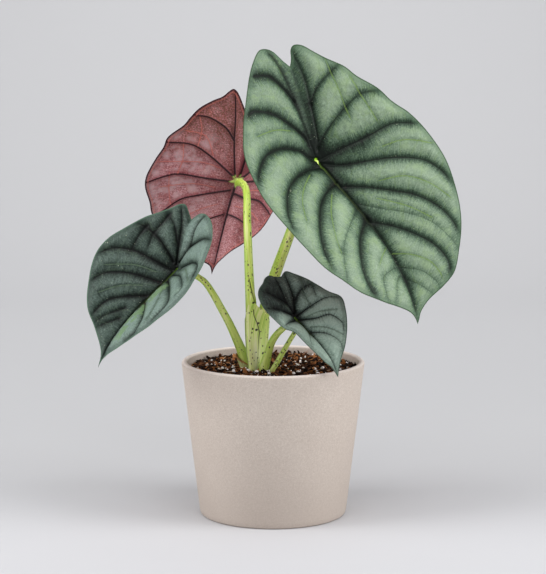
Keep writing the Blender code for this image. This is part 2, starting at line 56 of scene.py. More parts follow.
BLADES = {
    "big_leaf_blade": {
        "joint": (32.1, -30.0, 274.1),
        "tip_way": (0.597, -0.357, -0.718),
        "upper_side": (0.256, -0.764, 0.592),
        "fold_deg": 20.0, "unfold": -2.0, "crease_round": 2.5, "notch_lean_deg": -3.8,
        "tip_curl": 2.5, "lobe_rise_deg": 38.0, "sway": (-2.25e-3, 1.74e-5),
        "plus_side": [
            (0, 143.5), (2, 138), (7, 132.5), (21, 123), (32, 116), (49, 103), (60, 90), (70, 74), (75, 52),
            (79, 29), (80.5, 8), (78, -14), (69, -32), (55, -56), (45, -72), (36, -81), (27, -87), (18, -87.5),
            (10, -84.5), (2, -77.5), (-4.8, -71.8),
        ],
        "minus_side": [
            (0, 143.5), (-2, 141), (-5, 136.5), (-13, 132), (-27, 128.5), (-38, 123.5), (-47, 112), (-59, 94),
            (-68, 73), (-74, 52), (-75, 32), (-72.5, 14), (-66.5, 0), (-62.5, -14), (-54, -30), (-48.5, -43),
            (-37, -59), (-29, -70), (-22, -79), (-15, -83.5), (-10.5, -82), (-8, -76), (-4.8, -71.8),
        ],
        "ribs": [
            ("midrib", [(0, 0), (0, 30), (0, 60), (0, 90), (0, 115), (0, 139)]),
            ("main", [(-2, 2), (-14, 4), (-37, 9), (-57, 12), (-70, 20)]),
            ("main", [(0, 4), (-11, 14), (-24, 21), (-45, 32), (-60, 44), (-66, 56), (-68, 67)]),
            ("main", [(-1, 28), (-15, 38), (-30, 52), (-40, 62), (-48, 75), (-52, 87), (-53, 99)]),
            ("faint", [(-1, 44), (-13, 57), (-26, 69), (-38, 84), (-44, 100), (-47, 110)]),
            ("main", [(0, 61), (-13, 73), (-24, 87), (-32, 100), (-36, 113), (-35, 122)]),
            ("faint", [(-2, 102), (-14, 111), (-22, 123), (-23, 127)]),
            ("faint", [(-2, 112), (-8, 118), (-14, 126)]),
            ("main", [(2, 0), (9, -3), (16, -8), (34, -12), (54, -10), (68, -2), (75, 4)]),
            ("main", [(0, 7), (18, 7), (40, 12), (55, 20), (67, 32), (70, 37)]),
            ("main", [(0, 23), (14, 27), (32, 36), (49, 51), (59, 65), (62, 73)]),
            ("faint", [(0, 48), (16, 55), (38, 67), (50, 79), (56, 89)]),
            ("main", [(0, 58), (20, 70), (33, 85), (38, 98), (37, 110)]),
            ("faint", [(4, 100), (13, 100), (22, 102), (26, 112), (26, 117)]),
            ("faint", [(4, 107), (11, 110), (18, 120)]),
            ("minor", [(1, -2), (1, -11), (3, -35), (5, -55), (10, -73), (17, -85)]),
            ("main", [(3, -10), (6, -18), (19, -29), (34, -38), (52, -42), (58, -41)]),
            ("main", [(4, -46), (13, -57), (26, -67), (41, -68)]),
            ("minor", [(-4, -5), (-8, -15), (-12, -38), (-14, -60), (-11, -82)]),
            # The fold entries are no veins: painted shade along the fold between the lobes and beside the joint.
            ("fold", [(-2, -6), (-5, -25), (-6, -50), (-5, -68)]),
            ("minor", [(-12, -38), (-23, -45), (-44, -47)]),
            ("minor", [(-5, -6), (-16, -12), (-36, -17), (-50, -18), (-62, -12)]),
            ("fold", [(-6, 2), (-18, 6), (-30, 11)]),
        ],
        "lines": [
            [(-1, 90), (-13, 98), (-23, 109), (-27, 121)],
            [(-43, 21), (-58, 26), (-72, 38)],
            [(-26, 40), (-42, 47), (-53, 60), (-60, 77)],
            [(5, 85), (13, 88), (19, 92)],
            [(-37, -59), (-37, -31), (-35, -9)],
            [(-49, -33), (-50, -11), (-50, 4)],
            [(14, 31), (30, 44), (42, 60), (47, 72)],
            [(20, 11), (38, 20), (50, 30), (58, 42)],
            [(22, -24), (40, -26), (60, -24)],
            [(-16, 50), (-30, 66), (-40, 82)],
        ],
    },
    "back_leaf_blade": {
        "joint": (-28.7, 45.0, 252.0),
        "tip_way": (-0.277, 0.459, -0.844),
        "upper_side": (-0.441, 0.720, 0.536),
        "fold_deg": 18.0, "unfold": -1.5, "crease_round": 2.0, "notch_lean_deg": 0.0,
        "tip_curl": 3.0, "lobe_rise_deg": 13.0, "sway": (0.0, 0.0),
        "plus_side": [
            (-1.5, 86.5), (0, 81), (4, 76), (14, 70), (28, 66), (46, 58), (57, 43), (64, 26), (67, 7), (65, -12),
            (59, -31), (48, -49), (36, -62), (24, -70), (14, -71), (6, -64), (0, -53),
        ],
        "minus_side": [
            (-1.5, 86.5), (-4.5, 79), (-12, 75), (-30, 66), (-46, 54), (-58, 39), (-62, 29), (-68, 17), (-69, 7),
            (-65, -7), (-61, -18), (-59, -27), (-49, -38), (-45, -45), (-39, -54), (-30, -61.5), (-23, -66),
            (-18.5, -71), (-15, -73.5), (-11, -71), (-6, -63.5), (0, -53),
        ],
        "ribs": [
            ("midrib", [(0, 0), (0, 25), (0, 50), (-1, 84)]),
            ("main", [(-2, -4), (-7, -29), (-10, -53), (-13, -69)]),
            ("main", [(-8, -33), (-16, -42), (-30, -48), (-40, -48)]),
            ("main", [(-3, -3), (-24, -17), (-40, -24), (-57, -23)]),
            ("main", [(-2, 1), (-24, 2), (-45, 2), (-56, 6), (-65, 11)]),
            ("main", [(-3, 9), (-25, 17), (-39, 23), (-49, 33)]),
            ("minor", [(-3, 32), (-14, 38), (-26, 47), (-33, 57)]),
            ("main", [(1, 12), (15, 20), (35, 28), (48, 39), (51, 42)]),
            ("main", [(3, 1), (14, 5), (30, 8), (52, 12), (61, 18)]),
            ("main", [(3, -1), (13, -4), (34, -14), (50, -22), (58, -22)]),
            ("main", [(2, -4), (7, -29), (10, -53), (13, -68)]),
            ("minor", [(8, -34), (20, -44), (36, -52)]),
            ("minor", [(1, 32), (9, 36), (23, 45), (33, 56)]),
        ],
        "lines": [
            [(-15, 9), (-32, 9), (-55, 15)],
            [(-14, -8), (-30, -10), (-62, -5)],
            [(-9, 24), (-24, 32), (-40, 46)],
            [(-22, -18), (-30, -32), (-46, -34)],
            [(-38, -48), (-34, -36), (-35, -24)],
            [(-46, -22), (-44, -10), (-46, 2)],
            [(10, 14), (30, 18), (55, 28)],
            [(9, 27), (28, 36), (42, 48)],
            [(-52, 3), (-50, 14), (-46, 28)],
            [(16, -12), (36, -20), (60, -14)],
        ],
    },
    "left_leaf_blade": {
        "joint": (-71.1, -35.0, 193.3),
        "tip_way": (-0.659, -0.351, -0.665),
        "upper_side": (-0.351, -0.639, 0.685),
        "fold_deg": 28.0, "unfold": -3.0, "crease_round": 2.0, "notch_lean_deg": 4.6,
        "tip_curl": 3.5, "lobe_rise_deg": 36.0, "sway": (3.86e-3, -3.76e-5),
        "plus_side": [
            (0.5, 93.8), (2, 86), (7, 79), (18, 70), (31, 61), (43, 45), (51, 29), (51.5, 16), (47, 4), (39, -12),
            (32, -22), (24, -33), (18, -41), (13, -44), (8.5, -42), (3.1, -38.3),
        ],
        "minus_side": [
            (0.5, 93.8), (-0.5, 87), (-6, 81), (-20, 70), (-35, 55), (-46, 36), (-52.5, 20), (-50, 4), (-48.5, -14),
            (-43.5, -27), (-34, -36), (-22, -41.5), (-12, -43), (-3, -41.5), (3.1, -38.3),
        ],
        "ribs": [
            ("midrib", [(0, 0), (0, 30), (0, 60), (0, 90)]),
            ("main", [(2, -2), (6, -14), (10, -30), (15, -39)]),
            ("minor", [(8, -16), (16, -25), (23, -27)]),
            ("main", [(5, -2), (19, -7), (31, -8), (41, -6)]),
            ("minor", [(23, -29), (27, -9), (26, -1)]),
            ("minor", [(34, -9), (35, 0), (34, 8)]),
            ("main", [(2, 3), (14, 6), (31, 10), (43, 17), (49, 25)]),
            ("main", [(2, 16), (13, 20), (26, 26), (37, 35), (40, 42)]),
            ("main", [(2, 30), (14, 40), (22, 50), (24, 62)]),
            ("minor", [(8, 47), (16, 59), (18, 64)]),
            ("minor", [(6, 55), (14, 67)]),
            ("main", [(0, -5), (-11, -18), (-13, -32), (-21, -41)]),
            ("main", [(-11, -17), (-30, -22), (-41, -22)]),
            ("main", [(-7, 0), (-28, -4), (-41, -2), (-46, 6)]),
            ("minor", [(-3, 6), (-20, 7), (-40, 15), (-42, 19)]),
            ("main", [(-2, 12), (-17, 18), (-37, 29), (-38, 41)]),
            ("main", [(-1, 35), (-19, 46), (-27, 57), (-24, 63)]),
        ],
        "lines": [
            [(-12, 20), (-26, 34), (-32, 46)],
            [(-10, 3), (-26, 2), (-44, 10)],
            [(10, 12), (25, 18), (40, 30)],
            [(10, 26), (22, 36), (30, 48)],
        ],
    },
    "small_leaf_blade": {
        "joint": (16.2, -50.0, 159.0),
        "tip_way": (0.648, -0.335, -0.684),
        "upper_side": (0.353, -0.664, 0.659),
        "fold_deg": 30.0, "unfold": -4.0, "crease_round": 1.5, "notch_lean_deg": -16.2,
        "tip_curl": 5.0, "lobe_rise_deg": 20.0, "sway": (-6.14e-3, 1.231e-4),
        "plus_side": [
            (-0.5, 54.5), (1, 51), (4, 46), (10, 40), (16, 27), (18.5, 18), (21, 11), (29.5, 6), (34, -2),
            (38, -11), (37.5, -20), (31, -26), (22, -29.5), (15, -33), (7, -34), (-1, -32), (-9, -30.9),
        ],
        "minus_side": [
            (-0.5, 54.5), (-3, 50), (-7, 45), (-15, 38), (-24, 28), (-31, 18), (-34.5, 9.5), (-30, 1), (-27, -7),
            (-23, -17), (-18, -26), (-14.5, -31.5), (-11.5, -32), (-9, -30.9),
        ],
        "ribs": [
            ("midrib", [(0, 0), (0, 20), (0, 52)]),
            ("main", [(-1, -3), (1, -13), (2, -24), (3, -32)]),
            ("main", [(3, -13), (12, -17), (27, -23)]),
            ("main", [(1, -2), (19, -8), (34, -11)]),
            ("main", [(2, 2), (15, 3), (22, 4)]),
            ("faint", [(1, 16), (9, 21), (13, 25)]),
            ("main", [(-2, -3), (-8, -14), (-12, -31)]),
            ("minor", [(-8, -10), (-15, -13), (-23, -11), (-22, -5)]),
            ("main", [(-2, 0), (-13, 1), (-25, 3), (-31, 7)]),
            ("main", [(-1, 3), (-11, 10), (-20, 14), (-23, 23), (-22, 26)]),
            ("minor", [(-1, 16), (-9, 23), (-13, 33), (-12, 39)]),
        ],
        "lines": [
            [(-6, 5), (-16, 8), (-26, 14)],
            [(-4, 13), (-12, 20), (-18, 31)],
            [(-17, -12), (-20, -22)],
            [(-14, 2), (-15, -12)],
        ],
    },
}

# How each kind of rib looks on a leaf whose blade is 1 in relative size: the dark band's strength and
# its half width at the start and the end, and the depth of its groove, in mm.
RIB_KINDS = {
    "midrib": {"dark": 0.97, "start": 6.4, "end": 4.2, "groove": 1.5, "line": 1.0},
    "main": {"dark": 0.93, "start": 5.2, "end": 4.3, "groove": 1.3, "line": 0.9},
    "minor": {"dark": 0.74, "start": 4.4, "end": 3.8, "groove": 0.8, "line": 0.6},
    "faint": {"dark": 0.42, "start": 3.4, "end": 3.0, "groove": 0.5, "line": 0.4},
    # fold is no vein: a band of painted shade along a fold of the blade, with no groove and no line.
    "fold": {"dark": 0.62, "start": 6.0, "end": 9.5, "groove": 0.0, "line": 0.0},
}

# Per leaf: relative size (bands) and strength (depth) of the dark bands, what share of it is lost by a
# rib's end (fall), height of the puckers and of the swelling between veins with its reach, the margin's
# ripple, the mesh's spokes and its rings on the upper and the under side.
BLADE_LOOKS = {
    "big_leaf_blade": {
        "piece": "big_leaf", "slot": "leaf_green", "bands": 1.0, "depth": 1.0, "fall": 0.12, "pucker": 0.16,
        "swell": 2.5, "swell_reach": 7.0, "ripple": 0.7,
        "spokes": 500, "upper_rings": 140, "under_rings": 42, "seed": 11, "under_ridge": 0.6,
    },
    "back_leaf_blade": {
        "piece": "back_leaf", "slot": "leaf_purple", "bands": 0.6, "depth": 1.0, "fall": 0.2, "pucker": 0.16,
        "swell": 1.2, "swell_reach": 6.0, "ripple": 0.6,
        "spokes": 420, "upper_rings": 40, "under_rings": 120, "seed": 12, "under_ridge": 0.75,
    },
    "left_leaf_blade": {
        "piece": "left_leaf", "slot": "leaf_dark", "bands": 0.5, "depth": 0.86, "fall": 0.4, "pucker": 0.22,
        "swell": 2.3, "swell_reach": 4.8, "ripple": 0.5,
        "spokes": 380, "upper_rings": 110, "under_rings": 32, "seed": 13, "under_ridge": 0.5,
    },
    "small_leaf_blade": {
        "piece": "small_leaf", "slot": "leaf_dark", "bands": 0.42, "depth": 0.8, "fall": 0.62, "pucker": 0.16,
        "swell": 1.7, "swell_reach": 3.8, "ripple": 0.4,
        "spokes": 320, "upper_rings": 90, "under_rings": 28, "seed": 14, "under_ridge": 0.4,
    },
}

BLADE_THICKNESS = 0.5 * MM
PUCKER_WAVES = 14


# ---- Shared helpers ----


def tint(red, green, blue):
    """An sRGB colour, 0 to 255 a channel, as the linear colour that a node takes."""
    linear = []
    for channel in (red, green, blue):
        share = channel / 255
        linear.append(share / 12.92 if share <= 0.04045 else ((share + 0.055) / 1.055) ** 2.4)
    return (*linear, 1.0)


def smoothstep(low, high, values):
    share = np.clip((values - low) / (high - low), 0.0, 1.0)
    return share * share * (3 - 2 * share)


def smooth_line(points, samples=8):
    """A smooth open curve through the points, as an array, with that many samples to each stretch."""
    points = np.asarray(points, float)
    run = np.vstack([points[:1], points, points[-1:]])
    share = (np.arange(samples) / samples)[:, None]
    parts = []
    for a, b, c, d in zip(run, run[1:], run[2:], run[3:]):
        parts.append(
            0.5 * (2 * b + (c - a) * share + (2 * a - 5 * b + 4 * c - d) * share**2
                   + (3 * b - a - 3 * c + d) * share**3)
        )
    return np.vstack([*parts, points[-1:]])


def evenly(points, count):
    """Count + 1 points at even spacing along the smooth curve through the given ones."""
    dense = smooth_line(points, 24)
    reach = np.concatenate([[0.0], np.cumsum(np.linalg.norm(np.diff(dense, axis=0), axis=1))])
    wanted = np.linspace(0.0, reach[-1], count + 1)
    return np.stack([np.interp(wanted, reach, dense[:, axis]) for axis in range(dense.shape[1])], axis=1)


def new_piece(name, points, faces, looks, replaced=()):
    """A mesh piece that rides on the root body. faces is a list of integer arrays, one per face size."""
    mesh = bpy.data.meshes.new(name)
    sizes = np.concatenate([np.full(len(block), block.shape[1]) for block in faces])
    corners = np.concatenate([block.ravel() for block in faces])
    mesh.vertices.add(len(points))
    mesh.vertices.foreach_set("co", np.asarray(points, np.float32).ravel())
    mesh.loops.add(len(corners))
    mesh.loops.foreach_set("vertex_index", corners.astype(np.int32))
    mesh.polygons.add(len(sizes))
    mesh.polygons.foreach_set("loop_start", (np.cumsum(sizes) - sizes).astype(np.int32))
    mesh.update(calc_edges=True)
    mesh.shade_smooth()
    for look in looks:
        mesh.materials.append(look)
    obj = bpy.data.objects.new(name, mesh)
    bpy.context.scene.collection.objects.link(obj)
    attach(obj, ROOT)
    if replaced:
        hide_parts(*replaced)
    return obj


def grid_faces(rows, columns, closed=False, first=0):
    """Four-sided faces over rows of points; closed joins each row's last point to its first."""
    this = np.arange(columns if closed else columns - 1)
    following = (this + 1) % columns
    start = first + np.arange(rows - 1)[:, None] * columns
    corners = (start + this, start + following, start + columns + following, start + columns + this)
    return np.stack([corner.ravel() for corner in corners], axis=1)


def fan(centre, first, count):
    """Triangles from one point to a closed ring of that many points."""
    this = np.arange(count)
    return np.stack([np.full(count, centre), first + this, first + (this + 1) % count], axis=1)


def band(one, other, count):
    """Four-sided faces between two closed rings, given the first point of each."""
    this = np.arange(count)
    following = (this + 1) % count
    return np.stack([one + following, other + following, other + this, one + this], axis=1)


def tube_faces(stations, sides):
    """Faces of one closed tube of rings of points, with a point at each end."""
    end = stations * sides
    caps = np.vstack([fan(end, 0, sides)[:, [0, 2, 1]], fan(end + 1, end - sides, sides)])
    return grid_faces(stations, sides, closed=True), caps


def double_skin_faces(rows, columns):
    """Faces of a thin sheet: its outer grid of points, then the inner one, joined along the rim."""
    faces = grid_faces(rows, columns)
    inner = rows * columns
    ring = np.concatenate([
        np.arange(columns), (np.arange(1, rows) + 1) * columns - 1,
        (rows - 1) * columns + np.arange(columns - 2, -1, -1), np.arange(rows - 2, 0, -1) * columns,
    ])
    following = np.roll(ring, -1)
    rim = np.stack([ring, following, following + inner, ring + inner], axis=1)
    return np.vstack([faces[:, ::-1], faces + inner, rim])


def point_values(obj, name, values):
    """Stores three numbers at every vertex for the materials to read."""
    layer = obj.data.attributes.new(name, "FLOAT_VECTOR", "POINT")
    layer.data.foreach_set("vector", np.asarray(values, np.float32).ravel())


# Which inputs are fed, where they aren't a node's first ones: Mix has its colours sixth and seventh
NODE_INPUTS = {"ShaderNodeMix": (0, 6, 7)}


class Value:
    """A node's output, which adds and multiplies as a number does and feeds further nodes."""

    def __init__(self, look, socket):
        self.look, self.socket = look, socket

    def __add__(self, other):
        return self.look.math("ADD", self, other)

    def __radd__(self, other):
        return self.look.math("ADD", other, self)

    def __sub__(self, other):
        return self.look.math("SUBTRACT", self, other)

    def __rsub__(self, other):
        return self.look.math("SUBTRACT", other, self)

    def __mul__(self, other):
        return self.look.math("MULTIPLY", self, other)

    def __truediv__(self, other):
        return self.look.math("DIVIDE", self, other)

    def __abs__(self):
        return self.look.math("ABSOLUTE", self)

    def apart(self, kind="XYZ"):
        """The three numbers of a vector, or with kind "Color" those of a colour."""
        node = self.look.node("ShaderNodeSeparate" + kind, self)
        return [Value(self.look, socket) for socket in node.outputs]

    def changed(self, operation, numbers):
        """This vector with an operation by three fixed numbers, such as MULTIPLY."""
        return self.look.result("ShaderNodeVectorMath", self, numbers, operation=operation)

    def fade(self, zero_at, one_at):
        """0 to 1 as this value goes smoothly from zero_at to one_at."""
        low, high = (0.0, 1.0) if zero_at <= one_at else (1.0, 0.0)
        ends = {
            "From_Min": min(zero_at, one_at), "From_Max": max(zero_at, one_at), "To_Min": low, "To_Max": high,
        }
        node = self.look.node("ShaderNodeMapRange", self, interpolation_type="SMOOTHSTEP", **ends)
        return Value(self.look, node.outputs["Result"])

    def noise(self, scale, detail=2.0, rough=0.5):
        node = self.look.node("ShaderNodeTexNoise", self, Scale=scale, Detail=detail, Roughness=rough)
        return Value(self.look, node.outputs["Fac"])

    def cells(self, scale, feature="F1"):
        """Voronoi cells: the distance to each one's middle or edge, and its random colour."""
        node = self.look.node("ShaderNodeTexVoronoi", self, feature=feature, Scale=scale)
        return Value(self.look, node.outputs["Distance"]), Value(self.look, node.outputs.get("Color"))

    def ramp(self, stops):
        """A colour for each value, between stops of (place, sRGB colour)."""
        node = self.look.node("ShaderNodeValToRGB", self)
        for place, _ in stops[1:-1]:
            node.color_ramp.elements.new(place)
        for element, (place, colour) in zip(node.color_ramp.elements, stops):
            element.position = place
            element.color = tint(*colour)
        return Value(self.look, node.outputs[0])


class Look:
    """A Principled material whose colour is painted in layers."""

    def __init__(self, name, **constants):
        self.material = bpy.data.materials.new(name)
        self.material.use_nodes = True
        self.tree = self.material.node_tree
        self.shader = self.tree.nodes["Principled BSDF"]
        self.colour = None
        for socket, value in constants.items():
            self.shader.inputs[socket.replace("_", " ")].default_value = value

    def node(self, kind, *fed, **settings):
        """A node with its first sockets fed and with named settings: an input where it is capitalised."""
        node = self.tree.nodes.new(kind)
        for name, value in settings.items():
            if name[0].isupper():
                node.inputs[name.replace("_", " ")].default_value = value
            else:
                setattr(node, name, value)
        for socket, value in zip(NODE_INPUTS.get(kind, node.inputs), fed):
            self.feed(node.inputs[socket] if isinstance(socket, int) else socket, value)
        return node

    def result(self, kind, *fed, **settings):
        return Value(self, self.node(kind, *fed, **settings).outputs[0])

    def feed(self, socket, value):
        if isinstance(value, Value):
            self.tree.links.new(value.socket, socket)
        else:
            socket.default_value = value

    def values(self, name):
        """The three numbers that the mesh stores under that name."""
        node = self.node("ShaderNodeAttribute", attribute_name=name, attribute_type="GEOMETRY")
        return Value(self, node.outputs["Vector"]).apart()

    def place(self):
        """The point's place on the object, in metres."""
        return Value(self, self.node("ShaderNodeTexCoord").outputs["Object"])

    def joined(self, x, y, z=0.0):
        return self.result("ShaderNodeCombineXYZ", x, y, z)

    def math(self, operation, *terms, clamp=False):
        return self.result("ShaderNodeMath", *terms, operation=operation, use_clamp=clamp)

    def mix(self, share, first, second):
        colours = [tint(*colour) if isinstance(colour, tuple) else colour for colour in (first, second)]
        return Value(self, self.node("ShaderNodeMix", share, *colours, data_type="RGBA").outputs[2])

    def paint(self, share, colour):
        """Lays a share of this colour over what is there."""
        self.colour = self.mix(share, self.colour, colour)

    def finish(self, roughness=None, height=None, strength=0.3, depth=0.5 * MM):
        self.feed(self.shader.inputs["Base Color"], self.colour)
        if roughness is not None:
            self.feed(self.shader.inputs["Roughness"], roughness)
        if height is not None:
            bump = self.node("ShaderNodeBump", Strength=strength, Distance=depth)
            self.feed(bump.inputs["Height"], height)
            self.feed(self.shader.inputs["Normal"], Value(self, bump.outputs[0]))
        return self.material


# ---- Camera, light and floor ----

CAMERA_PLACE = (0.0, -1.5, 0.387)
CAMERA_DOWN = 0.1407
CAMERA_LENS = 125.1

FLOOR_FRONT = -2.2
FLOOR_BACK = 1.1
FLOOR_SWEEP = 1.2
FLOOR_TOP = 2.6
FLOOR_HALF_WIDTH = 2.6


def make_camera():
    data = bpy.data.cameras.new("camera")
    data.lens = CAMERA_LENS
    data.sensor_width = 36.0
    camera = bpy.data.objects.new("camera", data)
    camera.location = CAMERA_PLACE
    camera.rotation_euler = (math.pi / 2 - CAMERA_DOWN, 0.0, 0.0)
    bpy.context.scene.collection.objects.link(camera)
    bpy.context.scene.camera = camera


def soft_light(name, place, target, size, power):
    data = bpy.data.lights.new(name, "AREA")
    data.shape = "RECTANGLE"
    data.size, data.size_y = size
    data.energy = power
    light = bpy.data.objects.new(name, data)
    light.location = place
    way = Vector(target) - Vector(place)
    light.rotation_euler = way.to_track_quat("-Z", "Y").to_euler()
    light.visible_camera = False
    bpy.context.scene.collection.objects.link(light)


def make_studio():
    world = bpy.data.worlds.new("studio")
    world.use_nodes = True
    world.node_tree.nodes["Background"].inputs["Color"].default_value = (0.97, 0.98, 1.0, 1.0)
    world.node_tree.nodes["Background"].inputs["Strength"].default_value = 0.30
    bpy.context.scene.world = world
    bpy.context.scene.view_settings.view_transform = "Standard"
    soft_light("left_softbox", (-1.3, -0.35, 0.65), (0.0, 0.0, 0.15), (0.8, 1.2), 14.0)
    soft_light("right_softbox", (1.3, -0.45, 0.65), (0.0, 0.0, 0.15), (0.8, 1.2), 15.0)
    soft_light("top_softbox", (0.0, -0.5, 1.15), (0.0, 0.0, 0.1), (1.0, 0.8), 7.6)
    soft_light("backdrop_softbox", (0.0, 0.9, 1.5), (0.0, 2.6, 0.0), (2.4, 0.8), 22.0)

    turns = np.linspace(0.0, math.pi / 2, 25)
    profile = [(FLOOR_FRONT, 0.0)]
    profile += [
        (FLOOR_BACK + FLOOR_SWEEP * math.sin(t), FLOOR_SWEEP * (1 - math.cos(t))) for t in turns
    ]
    profile += [(FLOOR_BACK + FLOOR_SWEEP, FLOOR_TOP)]
    points = [(side * FLOOR_HALF_WIDTH, y, z) for y, z in profile for side in (-1, 1)]
    faces = np.array([(2 * i, 2 * i + 1, 2 * i + 3, 2 * i + 2) for i in range(len(profile) - 1)])
    mesh = bpy.data.meshes.new("floor")
    mesh.from_pydata(points, [], faces.tolist())
    mesh.shade_smooth()
    floor = bpy.data.objects.new("floor", mesh)
    bpy.context.scene.collection.objects.link(floor)
    look = Look("floor_paper", Roughness=0.9)
    # Painted shade: the paper darkens from the front towards the back and up the wall.
    depth = look.place().apart()[1]
    look.colour = look.mix(depth.fade(-0.12, 0.22), (203, 203, 206), (189, 189, 191))
    floor.data.materials.append(look.finish())


# ---- Leaf blades ----


def leaf_frame(blade):
    """The blade's own directions in the world: across, towards the tip, and out of its upper side."""
    along = Vector(blade["tip_way"]).normalized()
    up = Vector(blade["upper_side"])
    up = (up - along * up.dot(along)).normalized()
    return along.cross(up), along, up


def blade_points(blade, u, v):
    """Where the flat points, in mm, lie on the folded, funnelled and curled blade."""
    front = np.maximum(v, 0.0)
    sway = (blade["sway"][0] * front**2 + blade["sway"][1] * front**3) * MM
    u, v = u * MM, v * MM
    fold, unfold = math.radians(blade["fold_deg"]), blade["unfold"]
    lean = math.radians(blade["notch_lean_deg"])
    angle = np.arctan2(u, v)
    way = angle / np.where(angle >= 0, math.pi - lean, math.pi + lean) * math.pi
    far = np.hypot(u, v)
    rounding = blade["crease_round"] * MM
    reach = np.hypot(far * np.sin(way), rounding) - rounding
    slope = math.radians(blade["lobe_rise_deg"]) * ((1 - np.cos(way)) / 2) ** FUNNEL_POWER
    height = (math.cos(fold) - np.cos(fold + unfold * reach)) / unfold + far * np.sin(slope)
    flat = np.sign(u) * (np.sin(fold + unfold * np.abs(u)) - math.sin(fold)) / unfold
    lateral = flat * np.cos(slope) + sway
    curl = blade["tip_curl"]
    turn = curl * np.maximum(v, 0.0)
    along = np.where(v > 0, np.sin(turn) / curl, v) * np.cos(slope) + height * np.sin(turn)
    out = height * np.cos(turn) - (1 - np.cos(turn)) / curl
    across_way, along_way, up_way = (np.array(way) for way in leaf_frame(blade))
    joint = np.array(blade["joint"]) * MM
    return joint + lateral[:, None] * across_way + along[:, None] * along_way + out[:, None] * up_way


def blade_normals(blade, u, v):
    step = 0.4
    across = blade_points(blade, u + step, v) - blade_points(blade, u - step, v)
    along = blade_points(blade, u, v + step) - blade_points(blade, u, v - step)
    normal = np.cross(across, along)
    return normal / np.linalg.norm(normal, axis=1)[:, None]


def nearest_on(line, flat):
    """For each flat point: its distance to the line, the side it is on, and how far along it lies."""
    start, way = line[:-1], np.diff(line, axis=0)
    length = np.linalg.norm(way, axis=1)
    reach = np.concatenate([[0.0], np.cumsum(length)])
    away = np.full(len(flat), 1e9)
    side = np.zeros(len(flat))
    along = np.zeros(len(flat))
    for a, w, l, r in zip(start, way, length, reach):
        share = np.clip(((flat - a) @ w) / (l * l), 0.0, 1.0)
        gap = flat - a - share[:, None] * w
        far = np.hypot(gap[:, 0], gap[:, 1])
        closer = far < away
        away[closer] = far[closer]
        side[closer] = np.sign(w[0] * gap[closer, 1] - w[1] * gap[closer, 0])
        along[closer] = r + share[closer] * l
    return away, side, along, reach[-1]


def vein_fields(blade, look, flat):
    """What the veins do at each flat point: darkness with the painted shade of the folds, groove, swelling, and the
    nearest one's place.
    """
    count = len(flat)
    light = np.ones(count)
    groove = np.zeros(count)
    open_panel = np.ones(count)
    ridge = np.zeros(count)
    nearest = np.full(count, 1e9)
    signed = np.zeros(count)
    lengthwise = np.zeros(count)
    vigour = np.zeros(count)
    bands = look["bands"]
    for number, (kind, points) in enumerate(blade["ribs"]):
        kind = RIB_KINDS[kind]
        line = smooth_line(points, 6)
        if kind is not RIB_KINDS["midrib"]:
            outward = line[-1] - line[-2]
            line = np.vstack([line, line[-1] + outward / np.linalg.norm(outward) * 6.0 * bands**0.5])
        away, side, along, length = nearest_on(line, flat)
        share = along / length
        band = bands * (kind["start"] + (kind["end"] - kind["start"]) * share)
        fading = (1.0 - look["fall"] * share) * (1.0 - 0.35 * smoothstep(0.9, 1.0, share))
        light *= 1.0 - kind["dark"] * look["depth"] * fading * np.exp(-((away / band) ** 1.25))
        scale = 0.5 + 0.5 * bands
        groove += kind["groove"] * fading * (1 - 0.45 * share) * np.exp(-((away / (1.3 * scale)) ** 2))
        flattened = np.exp(-((away / look["swell_reach"]) ** 2))
        open_panel *= 1.0 - fading * flattened * min(1.0, kind["dark"] + 0.1)
        ridge = np.maximum(ridge, kind["groove"] * (1 - 0.6 * share) * np.exp(-((away / (0.9 * scale)) ** 2)))
        if not kind["line"]:
            continue
        closer = away < nearest
        nearest[closer] = away[closer]
        vigour[closer] = (kind["line"] * (1 - 0.5 * share))[closer]
        signed[closer] = (away * np.where(side < 0, -1.0, 1.0))[closer]
        lengthwise[closer] = (along + 60.0 * number)[closer]
    line_gap = np.full(count, 9.0)
    for points in blade["lines"]:
        away, side, along, length = nearest_on(smooth_line(points, 6), flat)
        closer = away < np.abs(line_gap)
        line_gap[closer] = (away * np.where(side < 0, -1.0, 1.0))[closer]
        light *= 1.0 - 0.32 * np.exp(-((away / (2.6 * bands)) ** 1.2))
        groove += 0.35 * np.exp(-((away / (1.2 * bands + 0.4)) ** 2))
    return {
        "dark": 1.0 - light, "groove": groove, "open": open_panel, "ridge": ridge,
        "signed": signed, "along": lengthwise, "line_gap": line_gap, "vigour": vigour,
    }


def margin_ripple(look, spokes):
    """A gentle rise and fall of the margin, as a height in mm for each spoke."""
    draw = np.random.default_rng(look["seed"])
    turn = np.arange(spokes) / spokes * 2 * math.pi
    ripple = np.zeros(spokes)
    for waves in (5, 8, 11, 15, 21):
        ripple += draw.uniform(0.4, 1.0) * np.sin(waves * turn + draw.uniform(0, 2 * math.pi)) / math.sqrt(waves)
    return look["ripple"] * ripple


def puckers(look, flat):
    """Small soft hills and dips between the veins, about -1 to 1."""
    draw = np.random.default_rng(look["seed"] + 100)
    height = np.zeros(len(flat))
    for _ in range(PUCKER_WAVES):
        heading, length = draw.uniform(0, 2 * math.pi), draw.uniform(3.2, 8.5)
        way = np.array([math.cos(heading), math.sin(heading)]) * 2 * math.pi / length
        height += np.sin(flat @ way + draw.uniform(0, 2 * math.pi))
    return height / math.sqrt(PUCKER_WAVES)


